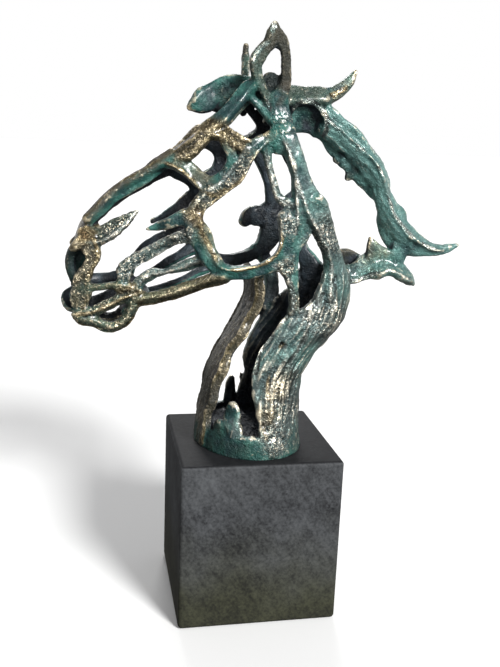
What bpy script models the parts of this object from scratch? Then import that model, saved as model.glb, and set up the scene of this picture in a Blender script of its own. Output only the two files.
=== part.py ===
"""An openwork horse head, cast in bronze, standing on a square plinth.

The head is one casting. It is a cage of straps: the outline of a horse's head
and neck, drawn in metal as two side walls that meet along the nose, the poll
and the crest of the neck. The neck ends in a hollow trunk on an egg-shaped foot.

Frame: metres, +Z up, origin at the middle of the plinth's underside. The nose
points along -X and the near side of the head faces -Y.
"""

import math

import bmesh
import bpy
from mathutils import Vector

MM = 0.001

# Driving sizes, in millimetres.
PLINTH_LENGTH = 120.0
PLINTH_DEPTH = 118.0
PLINTH_HEIGHT = 128.0
PLINTH_EDGE = 3.0
SEAT_GAP = 0.3
FOOT_HEIGHT = 12.0
FOOT_TOP = 143.0
WALL = 6.0
BACK_WALL_TOP = 261.0
BROAD_END = 3.0
SLIMMEST = 2.2
NARROWEST = 1.0

# How finely the shapes are sampled, in millimetres and sides.
STRAP_STEP = 2.5
STRAP_SIDES = 12
CORE_STEP = 4.0
NECK_STEP = 4.0
WALL_SIDES = 40
FOOT_SIDES = 64
VOXEL = 1.5
FACET_SHARE = 0.044
CUTTER = 200.0

# The section of a strap, and how its rounded ends close: (reach, share of the section).
SQUARENESS = 0.75
END_CAPS = [(0.9, 0.4), (0.6, 0.75)]

# The form under the straps: half the breadth of the head at places (x, z). Nearby
# stations are blended, each over about the square root of BLEND.
BLEND = 9.0
FORM_HALF_BREADTH = [
    (-138, 270, 13), (-126, 268, 18), (-128, 240, 16), (-108, 222, 15),
    (-110, 250, 19), (-100, 288, 16), (-122, 298, 11), (-95, 322, 11),
    (-72, 335, 13), (-60, 263, 21), (-84, 254, 17.5), (-76, 278, 17.5), (-53, 298, 26),
    (-56, 336, 20), (-42, 340, 25), (-42, 362, 22), (-30, 372, 22),
    (-16, 388, 18), (-20, 345, 28), (-20, 300, 32), (10, 290, 33),
    (5, 355, 26), (8, 378, 20), (20, 330, 29), (30, 300, 31),
    (50, 285, 26), (56, 258, 23), (54, 242, 24), (14, 255, 33), (-20, 262, 31),
]

# The line that the walls stand around, from the mouth over the cheek down the neck.
# A wall faces away from it, but mostly sideways: FLATTEN holds the rest back.
FLATTEN = 0.5
FORM_CORE = [
    (-122, 262), (-100, 272), (-72, 290), (-42, 312), (-12, 322), (8, 335),
    (12, 305), (24, 270), (26, 240), (8, 205), (0, 175), (0, 130),
]

# Straps of the side walls: thickness, which sides have it (-1 near, 1 far), and its
# middle line, (x, z, half its width).
BOTH, NEAR, FAR = (-1, 1), (-1,), (1,)
WALL_STRAPS = {
    "nostril_limb": (3.0, BOTH, [(-126, 288, 4.5), (-122.5, 281, 6.5), (-120.5, 275, 6.5),
                                 (-119.5, 270, 5), (-123, 263, 4.8), (-127, 255, 6.5),
                                 (-127.5, 247, 8), (-129, 240, 7), (-130, 235, 5)]),
    "nostril_roof": (3.8, BOTH, [(-117, 287, 4.5), (-124, 283.5, 4.5), (-129.5, 279, 4),
                                 (-133.5, 276, 3)]),
    "lower_lip": (3.5, BOTH, [(-131, 230, 3.4), (-120, 231.5, 4), (-112, 235, 4),
                              (-104, 239, 4), (-96, 242.5, 4.5), (-89, 243, 5)]),
    "chin": (3.5, BOTH, [(-132, 229, 3), (-127, 225.8, 3.8), (-119, 224.4, 4.2),
                         (-112, 220.8, 4.2), (-106, 220.2, 4), (-100, 222.8, 4),
                         (-95, 227.8, 4), (-92, 235, 4), (-91, 241, 4.5)]),
    "mouth_corner": (3.8, BOTH, [(-102, 250, 4.5), (-95, 246.5, 6.5), (-88, 245, 5.5)]),
    "lip_line_near": (3.0, NEAR, [(-129, 248.5, 3.5), (-118, 249, 2.6), (-108, 250.5, 2.6),
                                  (-98, 251, 3.6)]),
    "lip_line_far": (3.0, FAR, [(-129, 249, 4), (-120, 249, 4.2), (-110, 249.5, 4.2),
                                (-103, 251.5, 4.2), (-95, 254, 4)]),
    "nostril_leaf": (3.0, NEAR, [(-125, 283, 5), (-117, 284, 7.5), (-110.5, 286.8, 7.8),
                                 (-104.8, 291, 7), (-98.5, 295.3, 5), (-89.8, 302, 1.4)]),
    "nose_wall_near": (3.0, NEAR, [(-124, 296, 4), (-117, 303, 4), (-108, 312.5, 4),
                                   (-98, 321, 3.6), (-86, 328, 4), (-75, 335.5, 5),
                                   (-65, 342, 6)]),
    "nose_flank": (2.2, NEAR, [(-122.6, 294.6, 2.4), (-115.6, 301.6, 2.4), (-106.6, 311.1, 2.4),
                               (-96.6, 319.6, 2.4), (-84.9, 326.3, 2.4), (-74, 333.6, 2.6),
                               (-64, 340.3, 3)]),
    "nose_wall_far": (3.0, FAR, [(-123, 292, 5), (-114, 299, 5), (-105, 308, 6),
                                 (-93, 316.5, 7.5), (-80, 325, 8), (-68, 331, 8),
                                 (-58, 334, 8)]),
    "upper_bar_near": (3.4, NEAR, [(-98.5, 252, 4), (-98.5, 261, 5), (-94.8, 265.7, 4.6),
                                   (-87.5, 270.5, 4.3), (-78, 275.8, 4.2), (-69, 281, 4.3),
                                   (-60, 285.3, 4.5), (-51, 288.5, 5)]),
    "upper_bar_far": (3.4, FAR, [(-93, 254, 4), (-90.5, 262, 4), (-82.4, 272, 3.8),
                                 (-75.6, 277.6, 3.8), (-68, 281.8, 3.8), (-60, 285.5, 3.8),
                                 (-51, 290, 5)]),
    "middle_bar_near": (3.4, NEAR, [(-93, 247, 4), (-85, 254.5, 4.2), (-79, 258.8, 4),
                                    (-71.3, 260.3, 2.2), (-64.2, 262.6, 2.8), (-57, 264.9, 4),
                                    (-49, 267.7, 4.8), (-41, 270.5, 5)]),
    "middle_bar_far": (3.4, FAR, [(-90, 245, 4), (-80, 251, 3.6), (-70.6, 257.1, 3.4),
                                  (-63, 262, 3.6), (-54.5, 266.9, 3.8), (-44, 273, 5)]),
    "jaw_bar_near": (3.8, NEAR, [(-92, 240, 4.5), (-80, 241.5, 4.5), (-70, 244, 4.5),
                                 (-60, 247, 4.5), (-50, 251, 5), (-40, 255.5, 5.5),
                                 (-28, 259, 5)]),
    "jaw_bar_far": (3.2, FAR, [(-92, 239, 4), (-82, 239.5, 3), (-72.3, 241.4, 2.6),
                               (-60.8, 244.9, 2.6), (-48.4, 249.8, 3), (-36.8, 254.5, 4),
                               (-27, 259, 5)]),
    "cheek_ring": (5.0, BOTH, [(-52, 303, 5.5), (-51.5, 292, 5.5), (-45.5, 280, 5.5),
                               (-38, 268.5, 5), (-27, 263, 5), (-13, 262.5, 5),
                               (-1, 265.5, 5), (8, 271, 5), (13.5, 279, 5.5), (15, 288, 6),
                               (14, 297, 5.5), (12.5, 303, 6)]),
    "cheek_leaf": (3.8, NEAR, [(-50, 300, 6), (-58, 299.5, 6), (-66, 296.5, 4.5),
                               (-75, 292.5, 3), (-82, 290.5, 1.2)]),
    "far_leaf": (3.5, FAR, [(-45, 311, 6), (-52, 306, 4.6), (-59, 300.5, 3.6),
                            (-67, 296.3, 2.8), (-76, 292.6, 1.8)]),
    "cheek_swell": (4.5, NEAR, [(-48, 296, 4), (-44, 288.5, 6), (-42, 282, 6),
                                (-38.5, 275, 5), (-33, 268.5, 4)]),
    "cheekbone": (4.2, BOTH, [(-4, 354, 4.5), (-12.5, 347, 5), (-18, 338, 5.5),
                              (-24, 329, 6.5), (-32, 321.5, 6.5), (-40, 315.5, 6),
                              (-48, 308, 6), (-51, 299, 6)]),
    "under_eye_near": (3.8, NEAR, [(-70, 337.5, 5.5), (-62, 336, 5.5), (-53, 331, 5),
                                   (-46, 325, 5.5), (-38, 321, 7), (-31, 323, 6)]),
    "under_eye_far": (3.8, FAR, [(-66, 334, 7), (-57, 331, 8), (-49, 326, 7),
                                 (-43, 318, 6.5), (-44, 309, 6)]),
    "eye_ring": (3.0, BOTH, [(-31, 355, 4), (-28, 347.5, 4), (-25.8, 340, 4), (-29, 331, 4),
                             (-37, 325.5, 4)]),
    "lower_brow": (4.2, BOTH, [(-64, 339, 5), (-56, 343.5, 6), (-49, 349.5, 5.5),
                               (-43, 356.5, 6), (-36, 358.5, 6.5), (-29, 355.5, 5.4),
                               (-21, 351, 5), (-13, 348.5, 5), (-5, 352, 4.4), (4, 358, 5)]),
    "brow_near": (4.0, NEAR, [(-44, 359, 6), (-36, 364, 5.4), (-29, 370, 5), (-22.5, 378, 5),
                              (-16, 386, 5.5), (-9, 392, 5)]),
    "brow_far": (4.0, FAR, [(-58, 338.5, 5), (-47.5, 350, 5.5), (-40.5, 357.5, 5.5),
                            (-32, 364.5, 5.5), (-24.5, 371.5, 5.5), (-17, 379.5, 5.5),
                            (-10, 387, 5.5)]),
    "far_socket": (3.6, FAR, [(-50, 346, 5), (-42, 350.5, 5), (-33, 349, 5), (-25.5, 344, 5),
                              (-21, 336, 4.5)]),
    "temple_strut": (3.8, BOTH, [(-19, 386, 3.2), (-11, 381, 3), (-4, 374, 3), (4, 366, 3.5)]),
    "poll_side": (5.0, BOTH, [(8, 386, 6), (7.5, 376, 6.5), (9, 366, 8), (9, 356, 9.5),
                              (8, 349, 8)]),
    "jaw_back": (5.0, NEAR, [(12, 362, 7), (15.5, 350, 6), (20, 339, 5), (22, 328, 5.5),
                             (24, 316, 7), (25.5, 303, 8), (24.5, 291, 7)]),
    "jaw_root": (5.0, BOTH, [(38, 313, 7), (29, 303, 8), (24.5, 291, 7), (19, 280, 5.5),
                             (13, 271, 4.5)]),
    "cheek_strut": (3.8, NEAR, [(-3, 352, 4), (-1, 343, 3), (1, 335, 2.6), (4.3, 325, 2.6),
                                (7, 317, 3), (13, 312, 4), (20, 311, 4)]),
    "far_strut": (4.5, FAR, [(0, 350, 4.5), (3.5, 342, 4), (10, 331.5, 4), (14.5, 320, 4.5),
                             (16, 310, 5), (16, 300, 6.5)]),
    "far_hook": (5.5, FAR, [(18, 297, 7.5), (8, 297, 8), (0, 296, 8), (-4, 292.5, 5.5)]),
    "crest_near": (5.0, NEAR, [(9, 371, 6), (13, 357, 7.5), (18.5, 343, 6.5), (24, 328, 6.5), (30, 315, 8.5),
                               (37, 303, 10), (43, 292, 9), (48.5, 280, 7.5), (53, 268, 9),
                               (55, 257, 11), (55, 248, 12), (53, 238, 11)]),
    "crest_far": (5.0, FAR, [(14, 360, 7), (22, 352, 6), (31, 341, 6), (37.5, 328, 6),
                             (40, 315, 7), (39, 303, 7), (36.5, 292, 7), (36, 282, 7),
                             (40, 272, 7), (46, 264, 8), (50, 256, 9), (54, 248, 9)]),
    "strut_web": (3.5, NEAR, [(20, 286, 4), (19.8, 276, 4), (20, 264, 3.8), (21.5, 252, 3.4)]),
    "throat_strut": (3.8, NEAR, [(7, 270, 4.5), (13.5, 265.5, 4.5), (18.5, 257, 3.6),
                                 (21.5, 248, 3.4), (22.5, 238, 4), (22, 232, 3.5)]),
    "far_throat": (3.8, FAR, [(4, 271, 5), (12, 265.5, 5.5), (17, 257, 5.5), (19, 248, 5.5),
                              (19.3, 238, 5.5), (17, 226, 6)]),
}

# Straps across the middle plane: the thickness, how far the strap bends round the
# head, as one over a radius, and (x, z, half the width along Y) of its outer face.
CROSS_STRAPS = {
    "nose_ridge": (3.2, 0.05, [(-130.5, 285, 10), (-128.5, 291, 11), (-124.8, 298, 12),
                               (-117, 306, 12.5), (-108, 315, 12.5), (-95, 323.5, 12.5),
                               (-82, 332, 13), (-70, 341, 14), (-58, 350, 15),
                               (-47, 358.5, 17)]),
    "forehead": (3.2, 0.02, [(-58, 348, 12), (-46, 355, 15), (-36, 362, 14), (-27, 371.5, 13),
                             (-17, 383, 14), (-6, 391, 15), (4, 389, 15)]),
    "muzzle": (3.4, 0.04, [(-129.5, 286, 12), (-133.5, 280, 11), (-137.8, 273, 9.5),
                           (-139.8, 264.5, 9.5), (-138.6, 256, 11), (-135.6, 249, 12.5),
                           (-133.2, 246, 13)]),
    "upper_lip": (4.0, 0.03, [(-133.5, 250, 12), (-133, 244, 9), (-133.5, 238, 8)]),
    "lower_jaw": (2.6, 0.03, [(-132, 230, 9), (-127, 225.5, 12), (-120, 223, 13)]),
    "jaw_floor": (2.8, 0.02, [(-96, 226, 14), (-90, 235, 17), (-80, 240, 19)]),
    "poll": (4.5, 0.02, [(-8, 391, 16), (4, 386, 19), (14, 379, 17)]),
    "throat": (3.9, 0.013, [(-43, 130, 24), (-41, 150, 23), (-38, 166, 22.5), (-35, 181, 22),
                            (-28.5, 197, 22), (-20, 213, 21.5), (-11.5, 229, 21),
                            (-7.2, 240, 22), (-7, 249, 25), (-9.5, 258, 29)]),
}

# Bars that tie the two walls, (x, y, z, half-width).
TIE_BARS = {
    "nape": (4.0, [(36, -22, 303, 7), (45, -13, 306, 6), (49, 0, 307, 6), (48, 13, 305, 6),
                   (42, 22, 303, 7)]),
    "lip_roll": (2.6, [(-131, 6, 242, 6), (-134.8, 7, 238.5, 7), (-136.6, 7, 235.5, 7),
                       (-136.5, 7, 232, 7), (-133, 7, 229.5, 6)]),
}

# Thin leaves in the middle plane: half the thickness, the way the leaf faces, and
# (x, z, half-width, y). Those in MIRRORED stand on the far side as well.
TOWARDS = (0.0, -1.0, 0.0)
LIT = (0.5, -0.75, 0.45)
SHADED = (-0.32, -0.92, -0.25)
STEEP = (-0.5, -0.8, -0.35)
LOCKS = {
    "forelock": (3.0, SHADED, [(-6, 391, 6, 0), (-18, 393, 5.5, 0), (-29, 390.2, 6.5, -1),
                                (-38.5, 382.5, 8.8, -3), (-46, 377.2, 7.2, -5),
                                (-53, 374, 2.6, -6)]),
    "forelock_root": (4.5, TOWARDS, [(-34, 375.5, 4, 0), (-24, 382, 6.5, 0), (-12, 389, 7, 0)]),
    "septum": (2.5, TOWARDS, [(-124, 288, 4.5, 0), (-128, 279, 4.5, 0), (-130, 268, 6, 0),
                              (-128, 256, 6, 0)]),
    "short_lock": (4.0, LIT, [(4, 384, 8, 0), (18, 385.5, 8, -1), (32, 386, 7.5, -3),
                              (45, 386.5, 6.5, -3)]),
    "spike_lock": (3.5, LIT, [(36, 384, 8, -1), (48, 387, 7, 0), (57, 391.5, 5.4, 1),
                              (64, 398, 3.4, 2), (68, 404.5, 1.3, 2)]),
    "long_lock": (3.4, SHADED, [(6, 376, 12, 1), (18, 373, 12, 3), (30, 372.5, 13, 4),
                                (42, 370, 13, 2), (52, 364, 13, 0), (62, 355, 13.5, 0),
                                (70.5, 345.5, 13.5, 0), (80, 334, 12, 1), (89, 325, 9, 2),
                                (96, 317, 6.5, 2), (100, 309.5, 6.5, 2), (103, 300, 10, 2),
                                (106.5, 290, 10.5, 1), (114, 281, 9.5, 0), (126, 277.5, 6.5, -1),
                                (140, 276.3, 4, -2), (151, 278, 2.7, -2), (157.5, 280.3, 1.2, -2)]),
    "mane_fold": (2.6, LIT, [(47, 372.5, 5.5, -2), (54, 367, 5.5, -3), (60, 363.5, 5.5, -3.5),
                             (66, 358.5, 5.5, -3.5), (72, 354.5, 5.5, -3.5), (78, 350, 5.5, -3.5),
                             (84, 345, 5.5, -3.5), (89, 339, 5.5, -3.5), (94, 330, 4.5, -3),
                             (98.5, 317, 4, -2.5), (105, 304, 5, -2.5), (113.5, 294, 5, -3),
                             (125, 284.5, 4.2, -3), (137, 278.5, 3, -3.5), (148, 278, 2, -3)]),
    "mane_slope": (2.6, STEEP, [(44, 366, 5, -2), (49, 361, 5.5, -3), (55, 357.5, 5.5, -3),
                                (61, 352, 5.5, -3), (68, 347.5, 5.5, -3), (74, 342, 5.5, -3),
                                (80, 337, 5.5, -3), (85, 331, 5, -3), (89.5, 324, 4.2, -2.5),
                                (94, 312, 4, -2), (100, 299, 5, -2), (108, 288, 5, -2),
                                (118, 280, 3.5, -2)]),
    "mane_crown": (4.2, LIT, [(44, 376, 6, 0), (54, 369, 7.5, 0), (63, 364, 8, 1), (71, 358.5, 8, 1),
                              (77, 351, 6.5, 1)]),
    "flake_high": (2.6, SHADED, [(68, 353, 6, 1), (61, 346, 5.5, 2), (58, 341.5, 3, 3)]),
    "flake_low": (2.6, SHADED, [(78, 341, 7, 1), (71, 333, 6, 3), (68, 329, 3, 4)]),
    "neck_lock": (4.0, LIT, [(56, 256, 7, 0), (66, 256, 7, 0), (76, 257, 8, 0), (87, 263, 10, 0),
                             (98, 265, 11.5, -1), (108, 262.5, 8.5, -2), (116, 257.5, 7, -2),
                             (122, 252.5, 4.5, -2), (125, 250, 1.8, -2)]),
    "neck_spike": (3.5, TOWARDS, [(99, 262, 14, 0), (94.5, 270, 11, 0), (91, 277, 7, 0),
                                  (88, 284, 2.2, 0)]),
    "lock_link": (4.0, TOWARDS, [(108, 263, 6, 0), (111, 272, 7, 0), (112, 280, 6, 0)]),
    "crest_spur": (4.0, TOWARDS, [(60, 263, 6, 8), (67, 268, 6, 9), (75, 269, 5.5, 9),
                                  (83, 265.5, 4.5, 8), (89, 261, 3, 6)]),
    "jag_low": (3.5, LIT, [(97, 306, 5, 1), (105, 307.5, 4.5, 1), (112, 303.5, 4, 1),
                           (111.5, 295, 5, 1)]),
}
MIRRORED = ("mane_fold", "mane_slope")

# The ear, a leaf with a hole and a shallow bowl at its root: thickness, depth behind
# the root, and (across, up, half-width) in its own plane. Each ear has its root
# (x, y, z), its turn in degrees and its scale.
EAR_PARTS = {
    "front_rim": (3.0, 0.0, [(2, 52, 1.6), (0, 42, 4.2), (-6.5, 34, 4.4), (-10, 26.5, 4),
                             (-9, 19, 3.6), (-5, 11, 3.6), (0, 3, 4), (4, -4, 4)]),
    "back_rim": (3.0, 0.0, [(2.5, 52, 1.6), (7.5, 42, 4.2), (10.5, 33, 3.5), (11, 24, 3.3),
                            (11, 15, 4), (9, 7, 4.4), (6, -3, 5)]),
    "tip": (2.2, 0.0, [(2, 52.5, 2.6), (2, 48, 5.4), (2, 43, 7), (2, 39, 7)]),
    "bowl": (2.2, 4.0, [(1.5, 20, 5), (1.5, 12, 6), (3, 2, 5)]),
}
EARS = {"near": ((0.0, -20.0, 378.0), 0.0, 1.0), "far": ((-9.0, 24.0, 377.0), 80.0, 0.83)}

# The neck as a hollow trunk: at each height, the front and back lines and the half
# breadth, then how far forward the back wall reaches on the near and far sides.
TRUNK = [
    (128, -43.5, 38.0, 51.5), (136, -43.0, 36.5, 50.5), (146, -41.5, 35.5, 47.5),
    (158, -39.5, 35.0, 43.5), (170, -38.0, 35.5, 40.5), (184, -35.0, 37.0, 38.0),
    (198, -29.5, 45.5, 36.5), (210, -24.0, 55.5, 35.5), (218, -20.0, 64.0, 35.0),
    (226, -15.5, 69.0, 34.0), (240, -9.0, 72.0, 32.0), (252, -6.0, 72.5, 31.0),
    (264, -4.0, 69.0, 30.0),
]
BACK_WALL_EDGES = [
    (130, -1.0, 2.0), (146, -1.5, -3.0), (158, -3.0, -1.0), (170, -6.0, 2.0),
    (184, -7.5, 0.0), (198, -4.0, 3.0), (206, 1.0, 6.0), (216, 7.5, 11.0),
    (226, 14.0, 14.0), (232, 19.0, 18.0), (236, 30.0, 28.0), (241, 37.0, 34.0),
    (254, 43.0, 40.0), (262, 46.0, 44.0),
]
HALF_ROUND = 1.7
WIDEST_SHARE = 0.52
BACK_POWER = 0.87
FRONT_POWER = 1.05
FINEST_TURN = 1e-6

# Fingers of the trunk's side wall that stand up from the foot: the side, x, half the
# width and the height of the top. TIP_SHARE is how narrow one gets at its top.
TIP_SHARE = 0.28
STUBS = [(-1, -21.5, 6.5, 166.5), (1, -10.0, 5.5, 167.0)]
SLOT_SILLS = [(-1, -30.0, 5.0, 152.0), (1, -29.0, 6.0, 150.0)]


def curve(points, step):
    """Samples a smooth curve through the points about every step, all columns alike."""
    rows = [Vector(p) for p in points]
    ends = [2 * rows[0] - rows[1]] + rows + [2 * rows[-1] - rows[-2]]
    samples = []
    for a, b, c, d in zip(ends, ends[1:], ends[2:], ends[3:]):
        count = max(1, round((c - b).length / step))
        for i in range(count):
            t = i / count
            samples.append(0.5 * (2 * b + (c - a) * t + (2 * a - 5 * b + 4 * c - d) * t ** 2
                                  + (3 * b - a - 3 * c + d) * t ** 3))
    return samples + [rows[-1]]


def breadth(x, z):
    """Half the breadth of the form at (x, z), blended from the stations around it."""
    total = weight = 0.0
    for sx, sz, half in FORM_HALF_BREADTH:
        near = 1 / ((x - sx) ** 2 + (z - sz) ** 2 + BLEND) ** 2
        total += near * half
        weight += near
    return total / weight


core_line = [Vector((x, 0, z)) for x, z in curve(FORM_CORE, CORE_STEP)]


def outward(point):
    """The direction away from the core line, flattened so that walls face mostly sideways."""
    level = Vector((point.x, 0, point.z))
    nearest = min(core_line, key=lambda place: (place - level).length_squared)
    away = point - nearest
    return Vector((FLATTEN * away.x, away.y, FLATTEN * away.z)).normalized()


def fixed(direction):
    """A facing that is the same all along a strap."""
    vector = Vector(direction).normalized()
    return lambda centre: vector


def interpolate(table, at, column):
    """The table's column at a height between its rows."""
    if at <= table[0][0]:
        return table[0][column]
    for low, high in zip(table, table[1:]):
        if at <= high[0]:
            share = (at - low[0]) / (high[0] - low[0])
            return low[column] + (high[column] - low[column]) * share
    return table[-1][column]


def loft(bm, rings):
    """Skins a row of closed rings of points, with a cap at each end."""
    verts = [bm.verts.new(p * MM) for p in rings[0]]
    edges = [bm.edges.new(pair) for pair in zip(verts, verts[1:] + verts[:1])]
    bmesh.ops.contextual_create(bm, geom=edges)
    for ring in rings[1:]:
        made = set(bmesh.ops.extrude_edge_only(bm, edges=edges)["geom"])
        verts = [next(e.other_vert(v) for e in v.link_edges if e.other_vert(v) in made)
                 for v in verts]
        for vert, place in zip(verts, ring):
            vert.co = place * MM
        edges = [bm.edges.get(pair) for pair in zip(verts, verts[1:] + verts[:1])]
    bmesh.ops.contextual_create(bm, geom=edges)


def rounded(value):
    """Squares up an oval a little, so that a strap has a face and two edges."""
    return math.copysign(abs(value) ** SQUARENESS, value)


def section(centre, side, normal, half_width, half_thickness, bend):
    """One oval ring of a strap, its flanks bent back where the strap wraps the form."""
    ring = []
    for i in range(STRAP_SIDES):
        angle = math.tau * i / STRAP_SIDES
        across = half_width * rounded(math.cos(angle))
        lift = half_thickness * rounded(math.sin(angle)) - bend * across ** 2 / 2
        ring.append(centre + side * across + normal * lift)
    return ring


def strap(bm, path, thickness, facing, bend=0.0):
    """Lofts one strap along path, rows (x, y, z, half-width), with rounded ends."""
    samples = curve(path, STRAP_STEP)
    centres = [Vector(s[:3]) for s in samples]
    last = len(centres) - 1
    rings = []
    for i, (centre, sample) in enumerate(zip(centres, samples)):
        along = (centres[min(i + 1, last)] - centres[max(i - 1, 0)]).normalized()
        normal = facing(centre)
        normal = (normal - along * normal.dot(along)).normalized()
        side = along.cross(normal)
        width = max(sample[3], NARROWEST)
        deep = min(thickness, max(width, SLIMMEST))
        if i == 0:
            for reach, share in END_CAPS:
                rings.append(section(centre - along * deep * reach, side, normal,
                                     width * share, deep * share, bend))
        rings.append(section(centre, side, normal, width, deep, bend))
        if i == last:
            for reach, share in reversed(END_CAPS):
                rings.append(section(centre + along * deep * reach, side, normal,
                                     width * share, deep * share, bend))
    loft(bm, rings)


def side_walls(bm):
    for thickness, sides, points in WALL_STRAPS.values():
        for side in sides:
            path = [(x, side * breadth(x, z), z, half) for x, z, half in points]
            strap(bm, path, thickness, outward)


def crossings(bm):
    """The straps across the middle plane, whose points lie on the outer face, and the bars."""
    for thickness, bend, points in CROSS_STRAPS.values():
        path = []
        for x, z, half in points:
            face = Vector((x, 0, z))
            path.append((*(face - outward(face) * thickness), half))
        strap(bm, path, thickness, outward, bend)
    for thickness, points in TIE_BARS.values():
        strap(bm, points, thickness, outward)


def locks(bm):
    """The forelock, the mane and their tips, and the plate inside the nostrils."""
    for name, (thickness, facing, points) in LOCKS.items():
        strap(bm, [(x, y, z, half) for x, z, half, y in points], thickness, fixed(facing))
        if name in MIRRORED:
            x_tilt, y_tilt, z_tilt = facing
            strap(bm, [(x, -y, z, half) for x, z, half, y in points], thickness,
                  fixed((x_tilt, -y_tilt, z_tilt)))


def ear(bm, root, turn, scale):
    """A leaf-shaped ear on its root, turned about the vertical."""
    angle = math.radians(turn)
    across = Vector((math.cos(angle), math.sin(angle), 0))
    face = Vector((math.sin(angle), -math.cos(angle), 0))
    for thickness, depth, points in EAR_PARTS.values():
        foot = Vector(root) - face * depth
        path = [(*(foot + scale * (across * u + Vector((0, 0, v)))), half * scale)
                for u, v, half in points]
        strap(bm, path, thickness, fixed(face))


def trunk_point(z, turn, inset):
    """A point of the trunk at height z, turned from the back (0) over the near side."""
    front, back, half = (interpolate(TRUNK, z, column) for column in (1, 2, 3))
    middle = front + WIDEST_SHARE * (back - front)
    c, s = math.cos(turn), math.sin(turn)
    power = BACK_POWER if c > 0 else FRONT_POWER
    length = (back - middle if c > 0 else middle - front) - inset
    return Vector((middle + math.copysign(abs(c) ** power * length, c),
                   -math.copysign(abs(s) ** power * (half - inset), s), z))


def turn_at(z, x):
    """How far round the trunk its surface stands at x, from the back over the near side."""
    low, high = 0.0, math.pi
    while high - low > FINEST_TURN:
        middle = (low + high) / 2
        if trunk_point(z, middle, 0).x > x:
            low = middle
        else:
            high = middle
    return low


def trunk_ring(z, start, end):
    """A slice of the trunk's wall at height z, as a closed ring of points."""
    turns = [start + (end - start) * i / WALL_SIDES for i in range(WALL_SIDES + 1)]
    return ([trunk_point(z, turn, 0) for turn in turns]
            + [trunk_point(z, turn, WALL) for turn in reversed(turns)])


def levels(low, high):
    count = max(2, round((high - low) / NECK_STEP))
    return [low + (high - low) * i / count for i in range(count + 1)]


def back_wall(bm):
    rings = []
    for z in levels(PLINTH_HEIGHT - BROAD_END, BACK_WALL_TOP):
        near = turn_at(z, interpolate(BACK_WALL_EDGES, z, 1))
        far = turn_at(z, interpolate(BACK_WALL_EDGES, z, 2))
        rings.append(trunk_ring(z, -far, near))
    loft(bm, rings)


def foot(bm):
    """The egg-shaped foot: a low wall all round and a floor across it."""
    floor = []
    for z in levels(PLINTH_HEIGHT - BROAD_END, PLINTH_HEIGHT + FOOT_HEIGHT):
        turns = [math.tau * i / FOOT_SIDES for i in range(FOOT_SIDES)]
        floor.append([trunk_point(z, turn, WALL / 3) for turn in turns])
    loft(bm, floor)
    for middle in (math.pi / 2, -math.pi / 2):
        loft(bm, [trunk_ring(z, middle - HALF_ROUND, middle + HALF_ROUND)
                  for z in levels(PLINTH_HEIGHT - BROAD_END, FOOT_TOP)])


def stub(bm, side, x, half, top):
    """A short finger of the side wall that stands up from the foot."""
    rings = []
    for z in levels(PLINTH_HEIGHT + SLIMMEST, top):
        rise = max(0, (z - FOOT_TOP) / (top - FOOT_TOP))
        width = half * max(TIP_SHARE, math.sqrt(max(0, 1 - rise ** 3)))
        ring = []
        for i in range(STRAP_SIDES):
            angle = math.tau * i / STRAP_SIDES
            at = turn_at(z, x + width * math.cos(angle))
            place = trunk_point(z, at, WALL * 0.5 * (1 - math.sin(angle)))
            ring.append(Vector((place.x, -side * place.y, place.z)))
        rings.append(ring)
    loft(bm, rings)


def mesh_of(name, bm):
    mesh = bpy.data.meshes.new(name)
    bm.to_mesh(mesh)
    bm.free()
    return mesh


def head_mesh():
    bm = bmesh.new()
    side_walls(bm)
    crossings(bm)
    locks(bm)
    for root, turn, scale in EARS.values():
        ear(bm, root, turn, scale)
    back_wall(bm)
    foot(bm)
    for row in STUBS + SLOT_SILLS:
        stub(bm, *row)
    bmesh.ops.recalc_face_normals(bm, faces=bm.faces)
    return mesh_of("horse_head", bm)


def block_mesh(name, size, centre, edge):
    """A block with its edges eased by edge, or sharp where edge is 0."""
    bm = bmesh.new()
    bmesh.ops.create_cube(bm, size=1)
    bmesh.ops.scale(bm, vec=Vector(size) * MM, verts=bm.verts)
    bmesh.ops.translate(bm, vec=Vector(centre) * MM, verts=bm.verts)
    if edge:
        bmesh.ops.bevel(bm, geom=bm.edges, offset=edge * MM, affect="EDGES", segments=3,
                        profile=0.5, material=-1)
    return mesh_of(name, bm)


def material(name, colour, roughness, metallic):
    made = bpy.data.materials.new(name)
    made.use_nodes = True
    shader = made.node_tree.nodes["Principled BSDF"]
    shader.inputs["Base Color"].default_value = (*colour, 1)
    shader.inputs["Roughness"].default_value = roughness
    shader.inputs["Metallic"].default_value = metallic
    return made


def add(name, mesh, *finishes):
    made = bpy.data.objects.new(name, mesh)
    for finish in finishes:
        mesh.materials.append(finish)
    bpy.context.scene.collection.objects.link(made)
    return made


def build_plinth():
    size = (PLINTH_LENGTH, PLINTH_DEPTH, PLINTH_HEIGHT)
    mesh = block_mesh("plinth", size, (0, 0, PLINTH_HEIGHT / 2), PLINTH_EDGE)
    add("plinth", mesh, material("painted_wood", (0.03, 0.033, 0.03), 0.6, 0.0))


def build_head():
    """Fuses the straps into one skin, faces it, and cuts its seat flat."""
    head = add("horse_head", head_mesh(), material("patina", (0.07, 0.2, 0.17), 0.35, 0.6))
    fuse = head.modifiers.new("fuse", "REMESH")
    fuse.mode = "VOXEL"
    fuse.voxel_size = VOXEL * MM
    soften = head.modifiers.new("soften", "SMOOTH")
    soften.factor = 0.5
    soften.iterations = 3
    facet = head.modifiers.new("facet", "DECIMATE")
    facet.ratio = FACET_SHARE
    below = PLINTH_HEIGHT + SEAT_GAP - CUTTER / 2
    cutter = add("seat_cutter", block_mesh("seat_cutter", (CUTTER,) * 3, (0, 0, below), 0))
    cutter.hide_render = True
    cutter.display_type = "WIRE"
    seat = head.modifiers.new("seat", "BOOLEAN")
    seat.object = cutter


for existing in list(bpy.data.objects):
    bpy.data.objects.remove(existing)
build_plinth()
build_head()
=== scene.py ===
import math

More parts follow.
